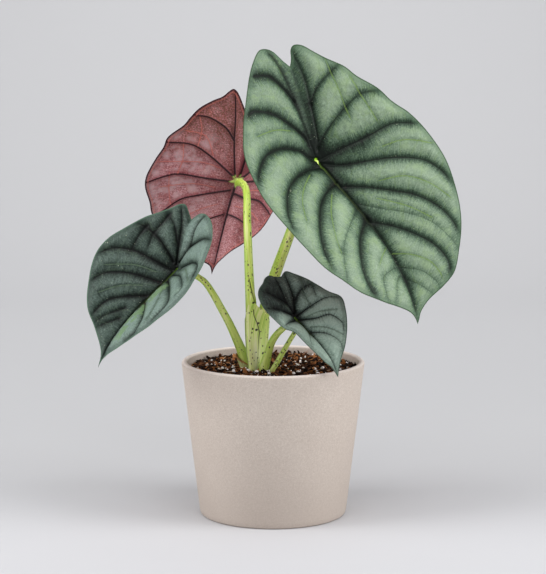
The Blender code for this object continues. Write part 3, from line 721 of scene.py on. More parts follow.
def make_blade(name):
    blade, look = BLADES[name], BLADE_LOOKS[name]
    half = look["spokes"] // 2
    outline = np.vstack([evenly(blade["plus_side"], half), evenly(blade["minus_side"], half)[-2:0:-1]])
    spokes = len(outline)
    closed_outline = np.vstack([outline, outline[:1]])
    ripple = margin_ripple(look, spokes)

    def layer(rings):
        shares = np.linspace(0.0, 1.0, rings + 1)[1:]
        flat = np.vstack([[[0.0, 0.0]], *[outline * share for share in shares]])
        spoke = np.concatenate([[0], np.tile(np.arange(spokes), rings)])
        share = np.concatenate([[0.0], np.repeat(shares, spokes)])
        return flat, spoke, share

    pieces = []
    for side, rings in ((1, look["upper_rings"]), (-1, look["under_rings"])):
        flat, spoke, share = layer(rings)
        fields = vein_fields(blade, look, flat)
        edge = nearest_on(closed_outline, flat)[0]
        swell = look["swell"] * fields["open"] * smoothstep(0.0, 8.0 * look["bands"] ** 0.5, edge)
        swell = swell + look["pucker"] * fields["open"] * puckers(look, flat) * smoothstep(0.0, 3.0, edge)
        rise = swell - fields["groove"] * smoothstep(0.0, 4.0, edge)
        rise = rise + ripple[spoke] * smoothstep(0.72, 1.0, share)
        rim = smoothstep(0.0, 2.0, edge)
        thickness = BLADE_THICKNESS * (0.45 + 0.55 * rim)
        offset = rise * MM + side * thickness / 2
        if side < 0:
            offset -= look["under_ridge"] * fields["ridge"] * rim * MM
        normal = blade_normals(blade, flat[:, 0], flat[:, 1])
        points = blade_points(blade, flat[:, 0], flat[:, 1]) + normal * offset[:, None]
        middle = blade_points(blade, flat[:, 0], flat[:, 1])[-spokes:]
        middle = middle + normal[-spokes:] * (rise[-spokes:] * MM)[:, None]
        pieces.append((points, flat, fields, edge, rings, middle))

    (upper, upper_flat, upper_fields, upper_edge, upper_rings, middle) = pieces[0]
    (under, under_flat, under_fields, under_edge, under_rings, _) = pieces[1]
    outward = middle - upper[-2 * spokes : -spokes]
    outward /= np.linalg.norm(outward, axis=1)[:, None]
    brim = middle + outward * 0.12 * MM
    points = np.vstack([upper, under, brim])
    under_first, brim_first = len(upper), len(upper) + len(under)
    fans = np.vstack([fan(0, 1, spokes)[:, ::-1], fan(under_first, under_first + 1, spokes)])
    upper_quads = grid_faces(upper_rings, spokes, True, 1)[:, [1, 2, 3, 0]]
    under_quads = grid_faces(under_rings, spokes, True, under_first + 1)[:, [0, 3, 2, 1]]
    brim_up = band(under_first - spokes, brim_first, spokes)
    brim_down = band(brim_first, brim_first - spokes, spokes)
    quads = np.vstack([upper_quads, brim_up, brim_down, under_quads])

    obj = new_piece(look["piece"], points, [fans, quads], LEAF_MATERIALS[name], [name])
    material_index = np.concatenate([
        np.zeros(spokes), np.ones(spokes), np.zeros(len(upper_quads) + spokes),
        np.ones(spokes + len(under_quads)),
    ]).astype(np.int32)
    obj.data.polygons.foreach_set("material_index", material_index)

    joined = {
        key: np.concatenate([values, under_fields[key], values[-spokes:]])
        for key, values in upper_fields.items()
    }
    edge = np.concatenate([upper_edge, under_edge, np.zeros(spokes)])
    flat = np.vstack([upper_flat, under_flat, outline])
    point_values(obj, "flat", np.column_stack([flat, joined["open"]]))
    point_values(obj, "rib", np.column_stack([joined["signed"], joined["along"], joined["dark"]]))
    point_values(obj, "line", np.column_stack([joined["line_gap"], joined["vigour"], edge]))


def upper_leaf_look(
    name, stops, patch, margin, submargin, core, line_colour, lime_reach, patch_share, shades, dot,
    line_width, zone,
):
    """The upper side: silvery panels, soft dark bands along the veins and a thin light margin.
    shades gives painted shade on the +u side and over the lobes: (half width, amount, from v, to v, amount); a
    little painted shade also lies near the margin. dot is the relative size of the lime spot over the stalk,
    line_width that of the thin dark vein lines, and zone the u and v ranges where most pale patches lie."""
    look = Look(name, Roughness=0.45, Specular_IOR_Level=0.16)
    u, v, _ = look.values("flat")
    signed, along, dark = look.values("rib")
    line_gap, vigour, edge = look.values("line")
    away = abs(signed)
    flat = look.joined(u, v)
    hairs = look.joined(along * 0.95, away * 0.2).noise(1.0, 3.0, 0.7)
    grain = flat.noise(0.8, 4.0, 0.75)
    cloud = flat.noise(0.075, 3.0, 0.55)
    speck = flat.noise(2.2, 2.0, 0.6)
    slope = (1.05 - dark) * (dark + 0.05) * 2.2
    ragged = (hairs - 0.5) * slope
    grained = (grain - 0.5) * 0.75
    silver = look.joined(along * 1.5, away * 0.1).noise(1.0, 2.0, 0.6)
    silver = (silver - 0.5) * -0.42
    clouded = (cloud - 0.5) * -0.35
    # Painted shade: darker on the +u side, over the lobes and in a band near the margin.
    half, side_amount, lobe_from, lobe_to, lobe_amount = shades
    sideways = u.fade(-half, half)
    lobes = v.fade(lobe_from, lobe_to) * (sideways * 0.5 + 0.5) * lobe_amount
    painted_shade = sideways * side_amount + lobes + edge.fade(9.0, 1.5) * 0.08
    tone = look.math("ADD", dark + ragged + grained + clouded + silver, painted_shade, clamp=True)
    look.colour = tone.ramp(stops)
    u_low, u_high, v_low, v_high = zone
    inside = (
        u.fade(u_low, u_low + 4.0) * u.fade(u_high, u_high - 2.5) * v.fade(v_low, v_low + 6.0)
        * v.fade(v_high, v_high - 8.0)
    )
    blotch = flat.noise(0.13, 3.0, 0.6)
    patches = (
        cloud.fade(0.46, 0.64) * tone.fade(0.5, 0.1) * patch_share + inside * blotch.fade(0.42, 0.5) * 0.75
    )
    look.paint(patches, patch)
    # Fine net of side veins over the panels
    wobble = cloud * 14.0 + grain * 1.2
    net = look.joined(u + wobble, v + wobble).cells(0.085, "DISTANCE_TO_EDGE")[0]
    net = net.fade(0.05, 0.0) * dark.fade(0.8, 0.3) * 0.22
    look.paint(net, line_colour)
    drawn = abs(line_gap).fade(0.75, 0.15)
    look.paint(drawn * 0.72 * grain.fade(0.25, 0.55), line_colour)
    width = (vigour * 0.9 + 0.25) * line_width
    thin = (away / width).fade(1.25, 0.45)
    look.paint(thin * look.math("MINIMUM", vigour * 1.3, 0.85), core)
    # Lime start of the midrib
    near = look.math("SQRT", u * u + v * v)
    on_midrib = abs(u).fade(1.1, 0.3) * v.fade(-1.0, 0.5)
    started = on_midrib * v.fade(lime_reach, lime_reach * 0.25)
    look.paint(started * 0.8, (84, 116, 28))
    faint = on_midrib * v.fade(lime_reach * 4.5, lime_reach) * 0.45
    look.paint(faint, (72, 88, 40))
    look.paint(near.fade(2.0 * dot, 0.8 * dot), (168, 222, 50))
    # Margin
    inner = edge.fade(4.0, 2.2) * 0.42
    look.paint(inner, submargin)
    look.paint(edge.fade(0.95, 0.4) * 0.85, margin)
    # Scattered pale flecks
    dots = flat.cells(0.42)[0]
    chance = flat.noise(0.42, 0.0)
    flecks = dots.fade(0.18, 0.07) * chance.fade(0.6, 0.64) * speck.fade(0.42, 0.58)
    look.paint(flecks * 0.75, (200, 206, 180))
    rough = 0.34 + grain * 0.22
    height = grain * 0.7 + hairs * 0.5 + net * -0.8
    return look.finish(rough, height, strength=0.5, depth=0.4 * MM)


def under_leaf_look(name, panel_stops, band, vein, line_colour, haze, margin):
    """The underside: mottled mauve panels between dark raised veins."""
    look = Look(name, Roughness=0.5, Specular_IOR_Level=0.2)
    u, v, _ = look.values("flat")
    signed, along, dark = look.values("rib")
    line_gap, vigour, edge = look.values("line")
    away = abs(signed)
    flat = look.joined(u, v)
    grain = flat.noise(0.8, 3.0, 0.75)
    cloud = flat.noise(0.06, 3.0, 0.6)
    streak = look.joined(along * 0.1, away * 0.3).noise(1.0, 3.0, 0.65)
    upward = v.fade(20.0, -55.0)
    above = v.fade(4.0, -8.0)
    # Painted shade: darker right of the midrib above the joint, and over the lower right part.
    fold_side_shade = u.fade(1.0, 6.0) * above * 0.3
    grained = (grain - 0.5) * 2.0
    lower_right_shade = u.fade(4.0, 26.0) * v.fade(-6.0, 10.0) * 0.2
    tone = cloud * 0.8 + grained + upward * 0.22 + fold_side_shade + lower_right_shade + 0.03
    look.colour = tone.ramp(panel_stops)
    look.paint(dark.fade(0.1, 0.8) * 0.6, band)
    misty = streak.fade(0.5, 0.68) * dark.fade(0.55, 0.1) * u.fade(8.0, -4.0)
    look.paint(misty * grain.fade(0.35, 0.6) * 0.4, haze)
    wisps = streak.fade(0.52, 0.7) * v.fade(-10.0, 25.0) * dark.fade(0.5, 0.1)
    look.paint(wisps * 0.28, haze)
    brown = v.fade(-2.0, -40.0) * grain.fade(0.38, 0.58) * 0.6
    look.paint(brown, (116, 88, 66))
    bloom = flat.noise(0.1, 3.0, 0.6).fade(0.42, 0.6) * u.fade(-6.0, -30.0)
    bloom = bloom * v.fade(-45.0, -20.0) * grain.fade(0.3, 0.62) * dark.fade(0.6, 0.1)
    look.paint(bloom * 0.62, haze)
    drawn = abs(line_gap).fade(0.7, 0.15)
    look.paint(drawn * 0.6 * grain.fade(0.2, 0.55), line_colour)
    wobble = cloud * 26.0 + grain * 2.0
    net = look.joined(u + wobble, v + wobble).cells(0.12, "DISTANCE_TO_EDGE")[0]
    look.paint(net.fade(0.045, 0.0) * 0.16, line_colour)
    fold_shade = u.fade(-0.5, 2.0) * u.fade(34.0, 16.0) * above * 0.72
    look.paint(fold_shade * (grain * 0.5 + 0.7), band)
    width = vigour * 0.85 + 0.18
    thin = (away / width).fade(1.25, 0.6)
    look.paint(thin * dark.fade(0.05, 0.3) * 0.95, vein)
    brink = edge.fade(6.5, 1.5) * u.fade(10.0, -6.0) * 0.5
    look.paint(brink * (grain + 0.25), margin)
    look.paint(edge.fade(2.9, 2.2) * edge.fade(1.4, 2.0) * 0.45, line_colour)
    look.paint(edge.fade(1.25, 0.6), margin)
    # Pale green flare where the stalk joins
    near = look.math("SQRT", u * u + v * v)
    reach = away.fade(1.6, 0.2) * 3.4 + grain * 1.6 + 1.7
    flare = (near / reach).fade(1.15, 0.6)
    look.paint(flare, (196, 214, 120))
    rough = 0.4 + grain * 0.2
    return look.finish(rough, grain + streak * 0.4, strength=0.3, depth=0.3 * MM)


def leaf_materials():
    nowhere = (500.0, 600.0, 500.0, 600.0)
    green = upper_leaf_look(
        "silver_green_leaf",
        [
            (0.0, (152, 171, 147)), (0.2, (132, 152, 128)), (0.42, (99, 121, 99)), (0.66, (56, 75, 59)),
            (1.0, (15, 22, 17)),
        ],
        (138, 163, 112), (52, 78, 50), (84, 110, 86), (18, 26, 20), (118, 146, 74), 18.0, 0.35,
        (70.0, 0.08, 45.0, -55.0, 0.15), 0.55, 0.45, nowhere,
    )
    left = upper_leaf_look(
        "dark_green_leaf",
        [
            (0.0, (124, 143, 134)), (0.22, (93, 109, 101)), (0.45, (58, 71, 64)), (0.7, (31, 40, 35)),
            (1.0, (10, 13, 12)),
        ],
        (112, 140, 98), (84, 112, 92), (52, 70, 60), (8, 10, 9), (92, 112, 90), 14.0, 0.1,
        (7.0, 0.28, 400.0, 200.0, 0.0), 0.25, 0.5, (-17.0, -0.6, 12.0, 74.0),
    )
    small = upper_leaf_look(
        "young_green_leaf",
        [
            (0.0, (164, 186, 172)), (0.25, (140, 160, 147)), (0.5, (88, 103, 95)), (0.72, (42, 50, 46)),
            (1.0, (9, 11, 10)),
        ],
        (126, 150, 116), (66, 84, 70), (60, 78, 66), (10, 12, 11), (98, 116, 100), 7.0, 0.1,
        (12.0, 0.12, 4.0, -12.0, 0.56), 0.2, 0.42, nowhere,
    )
    purple = under_leaf_look(
        "mauve_underside",
        [(0.1, (222, 184, 188)), (0.32, (202, 144, 148)), (0.55, (168, 104, 107)), (0.85, (116, 62, 60))],
        (112, 46, 56), (30, 12, 20), (222, 124, 108), (228, 202, 206), (52, 12, 22),
    )
    return {
        "big_leaf_blade": [green, purple],
        "back_leaf_blade": [green, purple],
        "left_leaf_blade": [left, purple],
        "small_leaf_blade": [small, purple],
    }


# ---- Stalks ----

STALK_ROUTES = {
    "big_leaf_stalk": [
        (-8.7, -11.0, 108.0, 3.5), (-8.7, -11.2, 117.5, 3.8), (-8.6, -11.5, 124, 4.0), (-7.9, -12, 139, 4.1),
        (-6.8, -13, 155, 4.2), (-4.3, -14, 167, 4.2), (2.2, -17, 188, 4.15), (12.7, -21.5, 217.5, 3.7),
        (22.2, -25.5, 245.6, 3.2), (28.0, -28.3, 261, 2.9), (31.0, -29.2, 269.5, 2.7),
    ],
    "back_leaf_stalk": [
        (-14.4, -18.5, 108.0, 3.4), (-14.6, -18.4, 117.5, 3.8), (-15.5, -18, 125, 4.0), (-16.2, -17, 140, 4.1),
        (-16.6, -15, 155, 4.0), (-17.3, -11, 170, 3.7), (-18.2, -4, 188, 3.4), (-19.1, 5, 210, 3.1),
        (-19.8, 14, 228, 2.9), (-19.9, 20, 239, 2.8), (-20.7, 27, 246, 2.7), (-22.6, 33, 249.6, 2.7),
        (-25.2, 38, 251.0, 2.7),
    ],
    "left_leaf_stalk": [
        (-19.4, -10.3, 108.0, 4.2), (-20.4, -10.7, 117.5, 4.4), (-22.3, -11.5, 124, 4.0), (-27.2, -13, 136, 3.4),
        (-33.1, -15.5, 149.4, 3.0), (-39.1, -18.5, 161.2, 2.8), (-44.9, -22, 172.4, 2.6), (-50.7, -26, 181.6, 2.4),
        (-57.5, -29.4, 187.2, 2.2), (-63.4, -32, 190.4, 2.1),
    ],
    "small_leaf_stalk": [
        (-7.1, -22.8, 108.0, 3.6), (-6.7, -23.2, 116.5, 3.8), (-5.6, -24, 121, 3.5), (-3.0, -26, 130.5, 2.9),
        (-0.4, -29, 138, 2.7), (3.4, -33, 144.2, 2.5), (8.2, -38, 149.6, 2.3), (12.4, -43.8, 154.0, 2.1),
    ],
    "young_leaf_stalk": [
        (-1.8, -26.7, 108.0, 1.9), (-0.3, -27.1, 115.6, 1.95), (3.0, -28, 121, 1.9), (7.5, -29.5, 129.6, 1.9),
        (11.9, -31, 137.5, 1.8), (16.4, -32.0, 145.3, 1.7), (19.6, -32.0, 151.6, 1.6), (20.2, -31.7, 153.0, 1.5),
    ],
    "young_leaf_roll": [
        (19.4, -32.0, 151.2, 1.2), (20.0, -31.8, 152.4, 1.5), (21.6, -31.0, 156.0, 2.1), (23.8, -30.0, 161.5, 2.4),
        (25.8, -28.8, 167.5, 2.0), (27.2, -27.8, 172.5, 1.2), (28.2, -27.2, 176.0, 0.3),
    ],
}

STALK_SIDES = 40
SLIT_SIDES = 112
ROLL_SIDES = 96
STALK_STEP = 0.8


def with_joint(name):
    """The stalk's route, led into the underside of its blade where it has one."""
    route = list(STALK_ROUTES[name])
    blade = BLADES.get(name.replace("_stalk", "_blade"))
    if blade:
        joint = np.array(blade["joint"])
        up = np.array(leaf_frame(blade)[2])
        radius = route[-1][3]
        for below, share in ((3.6, 1.02), (2.5, 0.8), (2.0, 0.35)):
            route.append((*(joint - up * below), radius * share))
    return np.array(route, float)


def sweep_frames(line):
    """Unit directions along, forwards and sidewards at every point, turned as little as possible."""
    way = np.gradient(line, axis=0)
    way /= np.linalg.norm(way, axis=1)[:, None]
    forwards = np.empty_like(way)
    current = np.array([0.0, -1.0, 0.0])
    for i, along in enumerate(way):
        current = current - along * (current @ along)
        current /= np.linalg.norm(current)
        forwards[i] = current
    return way, forwards, np.cross(way, forwards)


def make_stalk(name, piece, look, shape=None, sides=STALK_SIDES):
    """A tapered round stalk. shape(height, angle) gives what to add to the radius and how dark the crease is
    painted there, on the back stalk painted shade in its slit; angle 0 faces the front and grows towards the
    plant's +X side."""
    route = with_joint(name)
    steps = int(np.linalg.norm(np.diff(route[:, :3], axis=0), axis=1).sum() / STALK_STEP)
    route = evenly(route, steps)
    line = route[:, :3] * MM
    way, forwards, sidewards = sweep_frames(line)
    turn = np.arange(sides) / sides * 2 * math.pi
    rings = len(line)
    height = np.repeat(route[:, 2], sides)
    angle = np.tile(turn, rings)
    radius = np.repeat(route[:, 3], sides)
    draw = np.random.default_rng(len(name))
    flute = sum(
        draw.uniform(0.006, 0.014) * np.sin(waves * angle + 0.02 * height + draw.uniform(0, 6.3))
        for waves in (3, 5, 8, 12)
    )
    radius = radius * (1 + flute)
    crease = np.zeros(len(radius))
    if shape is not None:
        added, crease = shape(height, np.where(angle > math.pi, angle - 2 * math.pi, angle))
        radius = radius + added
    outward = (
        np.cos(angle)[:, None] * np.repeat(forwards, sides, axis=0)
        + np.sin(angle)[:, None] * np.repeat(sidewards, sides, axis=0)
    )
    points = np.repeat(line, sides, axis=0) + outward * radius[:, None] * MM
    points = np.vstack([points, line[:1], line[-1:]])
    quads, caps = tube_faces(rings, sides)
    obj = new_piece(piece, points, [caps, quads], [look], [name])
    reach = np.concatenate([[0.0], np.cumsum(np.linalg.norm(np.diff(line, axis=0), axis=1))]) / MM
    reach = np.repeat(reach, sides)
    skin = np.column_stack([np.cos(angle), np.sin(angle), reach])
    point_values(obj, "skin", np.vstack([skin, [[0, 0, 0]], [[0, 0, reach[-1]]]]))
    stalk = np.column_stack([crease, np.repeat(route[:, 3], sides), height])
    point_values(obj, "stalk", np.vstack([stalk, [stalk[0]], [stalk[-1]]]))


def back_stalk_shape(height, angle):
    """The open seam of the back stalk's sheath: a slit that runs round to the right as it goes down."""
    seam_angle = np.interp(height, [160, 163, 167, 174, 181, 184], [1.45, 1.25, 0.85, 0.35, 0.0, -0.05])
    present = smoothstep(159.0, 163.0, height) * smoothstep(183.5, 179.0, height)
    off = angle - seam_angle
    slit = np.exp(-((off / 0.11) ** 2)) * present
    lip = np.exp(-(((off - 0.36) / 0.2) ** 2)) * present
    # The second value darkens the slit: painted shade inside the opening.
    return 0.75 * lip - 1.1 * slit, slit


def roll_shape(height, angle):
    """The rolled young leaf: its outer edge winds round once as a small step."""
    edge = np.mod(angle - (height - 152.0) * 0.12, 2 * math.pi)
    step = 0.35 * (1 - edge / (2 * math.pi))
    seam = np.exp(-((np.minimum(edge, 2 * math.pi - edge) / 0.18) ** 2))
    return step, seam


def stalk_material():
    """Lime skin, paler towards the foot, with fine lengthwise streaks and black flecks."""
    look = Look("speckled_stalk", Roughness=0.38, Specular_IOR_Level=0.5)
    across, ahead, reach = look.values("skin")
    crease, radius, height = look.values("stalk")
    place = look.place().changed("MULTIPLY", (1000.0, 1000.0, 1000.0))
    fibre = look.joined(across * 7.0, ahead * 7.0, reach * 0.03).noise(1.0, 3.0, 0.6)
    broad = look.joined(across * 1.3, ahead * 1.3, reach * 0.05).noise(1.0, 1.0)
    grain = place.noise(1.5, 3.0, 0.6)
    tone = fibre * 0.5 + broad * 0.7 - 0.1
    look.colour = tone.ramp([(0.25, (158, 198, 52)), (0.45, (204, 234, 96)), (0.66, (240, 250, 160))])
    flank = abs(ahead - 0.1).fade(0.45, 0.95)
    look.paint(flank * (fibre * 0.6 + 0.4), (146, 186, 44))
    pale = height.fade(172.0, 140.0) * (fibre * 0.6 + 0.05) * flank.fade(0.9, 0.2)
    look.paint(pale, (236, 248, 158))
    look.paint(height.fade(122.0, 112.0) * 0.4, (186, 192, 96))
    # Painted shade in the open slit of the back stalk's sheath.
    look.paint(crease.fade(0.15, 0.7) * 0.85, (48, 54, 18))
    # Flecks: two sizes of cells, each switched on at random
    flat = look.joined(across * radius, ahead * radius, reach * 0.62)
    masks = []
    for scale, size, share_on, offset in ((0.4, 0.25, 0.44, 0.0), (0.66, 0.27, 0.5, 40.0)):
        gap, cell = flat.changed("ADD", (offset, offset, offset)).cells(scale)
        chance, girth, _ = cell.apart("Color")
        edge = gap / ((0.45 + girth * 0.75) * size) + (grain - 0.5) * 0.9
        masks.append(edge.fade(1.12, 0.85) * chance.fade(share_on, share_on + 0.02))
    flecks = look.math("MAXIMUM", *masks)
    look.paint(flecks * 0.95, (26, 26, 18))
    rough = 0.3 + grain * 0.16
    bumps = fibre * 0.7 + grain * 0.2 + flecks * -0.25
    return look.finish(rough, bumps, strength=0.35, depth=0.25 * MM)


# ---- Sheath round the feet of the two tall stalks, and the withered one on the left stalk ----

# The wrap's outer edge, as seen from the front: (height, x). Its top, as (share of the turn, height)
SHEATH_EDGE = [
    (109, -8.6), (118, -8.5), (126, -7.8), (143, -8.4), (150, -10), (156, -12), (162, -13), (178, -14.6),
]
SHEATH_TOP = [
    (0.0, 160), (0.05, 163), (0.12, 158), (0.25, 150), (0.5, 146), (0.68, 149), (0.79, 154), (0.86, 157),
    (0.91, 161), (0.945, 165.5), (0.97, 172), (1.0, 178),
]
SHEATH_FOOT = 109.0
SHEATH_HALF_WIDTH = 8.4
SHEATH_TURN = 2 * math.pi + 0.35
SHEATH_OVERLAP = 0.6


def stalk_at(name, height):
    """Middle and radius of a stalk at some heights, in mm."""
    route = np.array(STALK_ROUTES[name], float)
    return [np.interp(height, route[:, 2], route[:, column]) for column in (0, 1, 3)]


def sheath_material():
    """Cream-green skin with fine pale and green streaks, greener at the left strip and near the top."""
    look = Look("sheath_skin", Roughness=0.36, Specular_IOR_Level=0.5)
    across, ahead, height = look.values("skin")
    crease = look.values("stalk")[0]
    streak = look.joined(across * 11.0, ahead * 11.0, height * 0.02).noise(1.0, 3.0, 0.7)
    broad = look.joined(across * 2.2, ahead * 2.2, height * 0.03).noise(1.0, 1.0)
    grain = look.place().changed("MULTIPLY", (1000.0, 1000.0, 1000.0)).noise(1.5, 3.0, 0.6)
    tone = streak * 0.75 + broad * 0.5 + height.fade(150.0, 122.0) * 0.12 - 0.16
    look.colour = tone.ramp(
        [(0.3, (162, 204, 66)), (0.42, (214, 240, 122)), (0.56, (242, 251, 176)), (0.7, (252, 254, 214))]
    )
    strip = ahead.fade(-0.74, -0.84) * 0.85
    look.paint(strip, (134, 168, 56))
    border = abs(ahead + 0.8).fade(0.045, 0.01)
    look.paint(border * height.fade(158.0, 120.0) * 0.7, (92, 112, 40))
    right = ahead.fade(0.5, 0.85) * 0.45
    look.paint(right, (176, 202, 104))
    look.paint(height.fade(121.0, 112.0) * 0.3, (190, 206, 112))
    # Painted shade in the crevices along the wrap's edges.
    look.paint(crease.fade(0.15, 0.7) * 0.9, (44, 50, 16))
    gap, cell = look.joined(across * 7.5, ahead * 7.5, height * 0.62).cells(0.5)
    chance, girth, _ = cell.apart("Color")
    edge = gap / ((0.5 + girth * 0.9) * 0.22) + (grain - 0.5) * 0.9
    specks = edge.fade(1.1, 0.85) * chance.fade(0.42, 0.44)
    look.paint(specks * 0.95, (20, 20, 14))
    bumps = streak * 0.9 + grain * 0.2
    return look.finish(0.28 + grain * 0.16, bumps, strength=0.5, depth=0.3 * MM)


def make_sheath():
    """A pale thin wrap that winds once round both tall stalks; its outer edge shows at the front."""
    columns, rows = 260, 90
    share = np.tile(np.linspace(0.0, 1.0, columns), rows)
    level = np.repeat(np.linspace(0.0, 1.0, rows), columns)
    top = np.interp(share, *zip(*SHEATH_TOP)) + 0.7 * np.sin(share * 47) * np.sin(share * 19 + 1)
    height = SHEATH_FOOT + (top - SHEATH_FOOT) * level
    edge_x = np.interp(height, *zip(*SHEATH_EDGE))
    ax, ay, ar = stalk_at("big_leaf_stalk", height)
    bx, by, br = stalk_at("back_leaf_stalk", height)
    middle_x, middle_y = (ax + bx) / 2, (ay + by) / 2
    half_gap = np.hypot(ax - bx, ay - by) / 2
    way_x, way_y = (ax - bx) / (2 * half_gap), (ay - by) / (2 * half_gap)
    outer = np.arcsin(np.clip((edge_x - middle_x) / SHEATH_HALF_WIDTH, -0.95, 0.95))
    turned = outer - share * SHEATH_TURN
    # The turn is measured from the front; the long axis of the pair lies along way.
    axis = turned - math.pi / 2 - np.arctan2(way_y, way_x)
    wall = (ar + br) / 2 + 0.25 + SHEATH_OVERLAP * (1 - share)
    flute = 0.12 * np.sin(7 * turned + 0.03 * height) + 0.09 * np.sin(13 * turned + 1.0)
    lip = 0.8 * np.exp(-((share / 0.014) ** 2)) * smoothstep(126.0, 150.0, height)
    flute = flute + lip + 0.05 * np.sin(29 * turned + 2.0)
    along = half_gap * np.tanh(2.2 * np.cos(axis)) + (wall + flute) * np.cos(axis)
    across = (wall + flute) * np.sin(axis) * (1 - 0.06 * np.cos(axis) ** 2)
    x = middle_x + along * way_x - across * way_y
    y = middle_y + along * way_y + across * way_x
    inner_thin = 0.22 * smoothstep(1.0, 0.9, level) + 0.06
    out_x, out_y = x - middle_x, y - middle_y
    far = np.hypot(out_x, out_y)
    skins = []
    for side in (0.5, -0.5):
        shift = side * inner_thin / far
        skins.append(np.column_stack([x + out_x * shift, y + out_y * shift, height]))
    obj = new_piece(
        "tall_stalk_sheath", np.vstack(skins) * MM, [double_skin_faces(rows, columns)], [sheath_material()],
    )
    skin = np.column_stack([np.cos(turned), np.sin(turned), height])
    # Painted shade in the crevice along the wrap's outer edge, and under its inner edge below 162 mm.
    crevice_shade = np.exp(-(((share - 0.001) / 0.007) ** 2))
    crevice_shade = crevice_shade * np.interp(height, [112, 128, 140, 152], [0.35, 0.4, 0.9, 1.0])
    under_edge = np.exp(-(((share - 0.985) / 0.02) ** 2)) * 0.8
    crease = np.clip(crevice_shade + under_edge * (height < 162), 0, 1)
    point_values(obj, "skin", np.vstack([skin, skin]))
    values = np.column_stack([crease, np.full(len(crease), 7.0), height])
    point_values(obj, "stalk", np.vstack([values, values]))


def make_dry_sheath():
    """The withered scale at the left stalk's foot: papery, ragged at its top and a little curled out."""
    columns, rows = 90, 30
    draw = np.random.default_rng(5)
    share = np.tile(np.linspace(0.0, 1.0, columns), rows)
    level = np.repeat(np.linspace(0.0, 1.0, rows), columns)
    ragged = np.repeat(draw.uniform(-0.7, 0.7, columns)[None, :], rows, axis=0).ravel()
    tall = 11.0 - 7.0 * share**2 + ragged * 0.6
    rise = tall * level - 3.0 * (1 - level)
    angle = np.radians(105.0 + 183.0 * share)
    radius = 4.95 + 0.15 * np.sin(9 * angle + 3 * level) + 0.9 * level**3
    x = -19.9 + radius * np.cos(angle) - 0.24 * rise
    y = -10.5 + radius * np.sin(angle) - 0.08 * rise
    z = 114.2 + rise
    skins = [np.column_stack([x, y, z])]
    skins.append(np.column_stack([x + 0.22 * np.cos(angle), y + 0.22 * np.sin(angle), z]))
    look = Look("withered_sheath", Roughness=0.8)
    spot = look.place()
    fibre = spot.changed("MULTIPLY", (1400.0, 1400.0, 120.0)).noise(1.0, 3.0, 0.7)
    grain = spot.noise(900.0, 3.0)
    dry = (fibre * 0.7 + grain * 0.3).ramp(
        [(0.3, (110, 66, 34)), (0.5, (168, 112, 62)), (0.7, (206, 166, 110))]
    )
    green = fibre.ramp([(0.3, (160, 170, 96)), (0.5, (190, 200, 132)), (0.7, (216, 220, 168))])
    from_edge = look.values("scale")[0]
    brown = from_edge.fade(0.72, 0.9) + spot.noise(260.0).fade(0.55, 0.7) * 0.4
    look.colour = look.mix(brown, green, dry)
    material = look.finish(None, fibre, strength=0.6, depth=0.4 * MM)
    obj = new_piece(
        "withered_scale", np.vstack(skins) * MM, [double_skin_faces(rows, columns)], [material],
        ["dry_sheath"],
    )
    values = np.column_stack([level, share, level])
    point_values(obj, "scale", np.vstack([values, values]))


# ---- Soil ----

SOIL_EDGE = 111.3
SOIL_MOUND = 2.0
SOIL_RADIUS = 63.9
CHIPS = 2600
PERLITE_BITS = 200
FIBRES = 210


def soil_height(x, y):
    """The soil's top surface in mm: a low mound with lumps and small pits."""
    far = np.hypot(x, y) / SOIL_RADIUS
    lumps = 0.5 * np.sin(0.31 * x + 1.1) * np.sin(0.27 * y + 0.4) + 0.35 * np.sin(0.83 * x - 0.6 * y)
    return SOIL_EDGE + SOIL_MOUND * (1 - far**2) + lumps - 0.4


def make_soil_bed():
    spokes, rings = 300, 90
    draw = np.random.default_rng(21)
    turn = np.arange(spokes) / spokes * 2 * math.pi
    shares = np.linspace(0.0, 1.0, rings + 1)[1:]
    far = np.repeat(shares * SOIL_RADIUS, spokes)
    angle = np.tile(turn, rings)
    x, y = far * np.cos(angle), far * np.sin(angle)
    z = soil_height(x, y) + draw.normal(0.0, 0.35, len(x)) * smoothstep(1.0, 0.98, far / SOIL_RADIUS)
    top = np.column_stack([x, y, z])
    low = POT_FLOOR + 0.4
    low_radius = pot_radius(low) - POT_WALL - 0.4
    wall = np.column_stack([low_radius * np.cos(turn), low_radius * np.sin(turn), np.full(spokes, low)])
    points = np.vstack([[[0, 0, SOIL_EDGE + SOIL_MOUND]], top, wall, [[0, 0, low]]])
    quads = grid_faces(rings + 1, spokes, closed=True, first=1)
    foot = 1 + rings * spokes
    ends = np.vstack([fan(0, 1, spokes), fan(foot + spokes, foot, spokes)[:, [0, 2, 1]]])
    look = Look("potting_mix", Roughness=0.95, Specular_IOR_Level=0.1)
    spot = look.place()
    coarse = spot.noise(260.0, 4.0, 0.7)
    fine = spot.noise(1100.0, 3.0, 0.6)
    look.colour = (coarse * 0.6 + fine * 0.4).ramp(
        [(0.35, (18, 12, 9)), (0.55, (44, 29, 19)), (0.75, (92, 62, 40))]
    )
    material = look.finish(None, coarse + fine, strength=0.9, depth=1.2 * MM)
    new_piece("soil_bed", points * MM, [ends, quads[:, ::-1]], [material], ["soil", "crown"])


def clear_of_stalks(x, y):
    """True where no stalk stands in the soil."""
    free = np.full(len(x), True)
    for name, route in STALK_ROUTES.items():
        if name == "young_leaf_roll":
            continue
        foot = route[1]
        free &= np.hypot(x - foot[0], y - foot[1]) > foot[3] - 0.6
    middle = (np.array(STALK_ROUTES["big_leaf_stalk"][1]) + np.array(STALK_ROUTES["back_leaf_stalk"][1])) / 2
    return free & (np.hypot(x - middle[0], y - middle[1]) > 5.0)


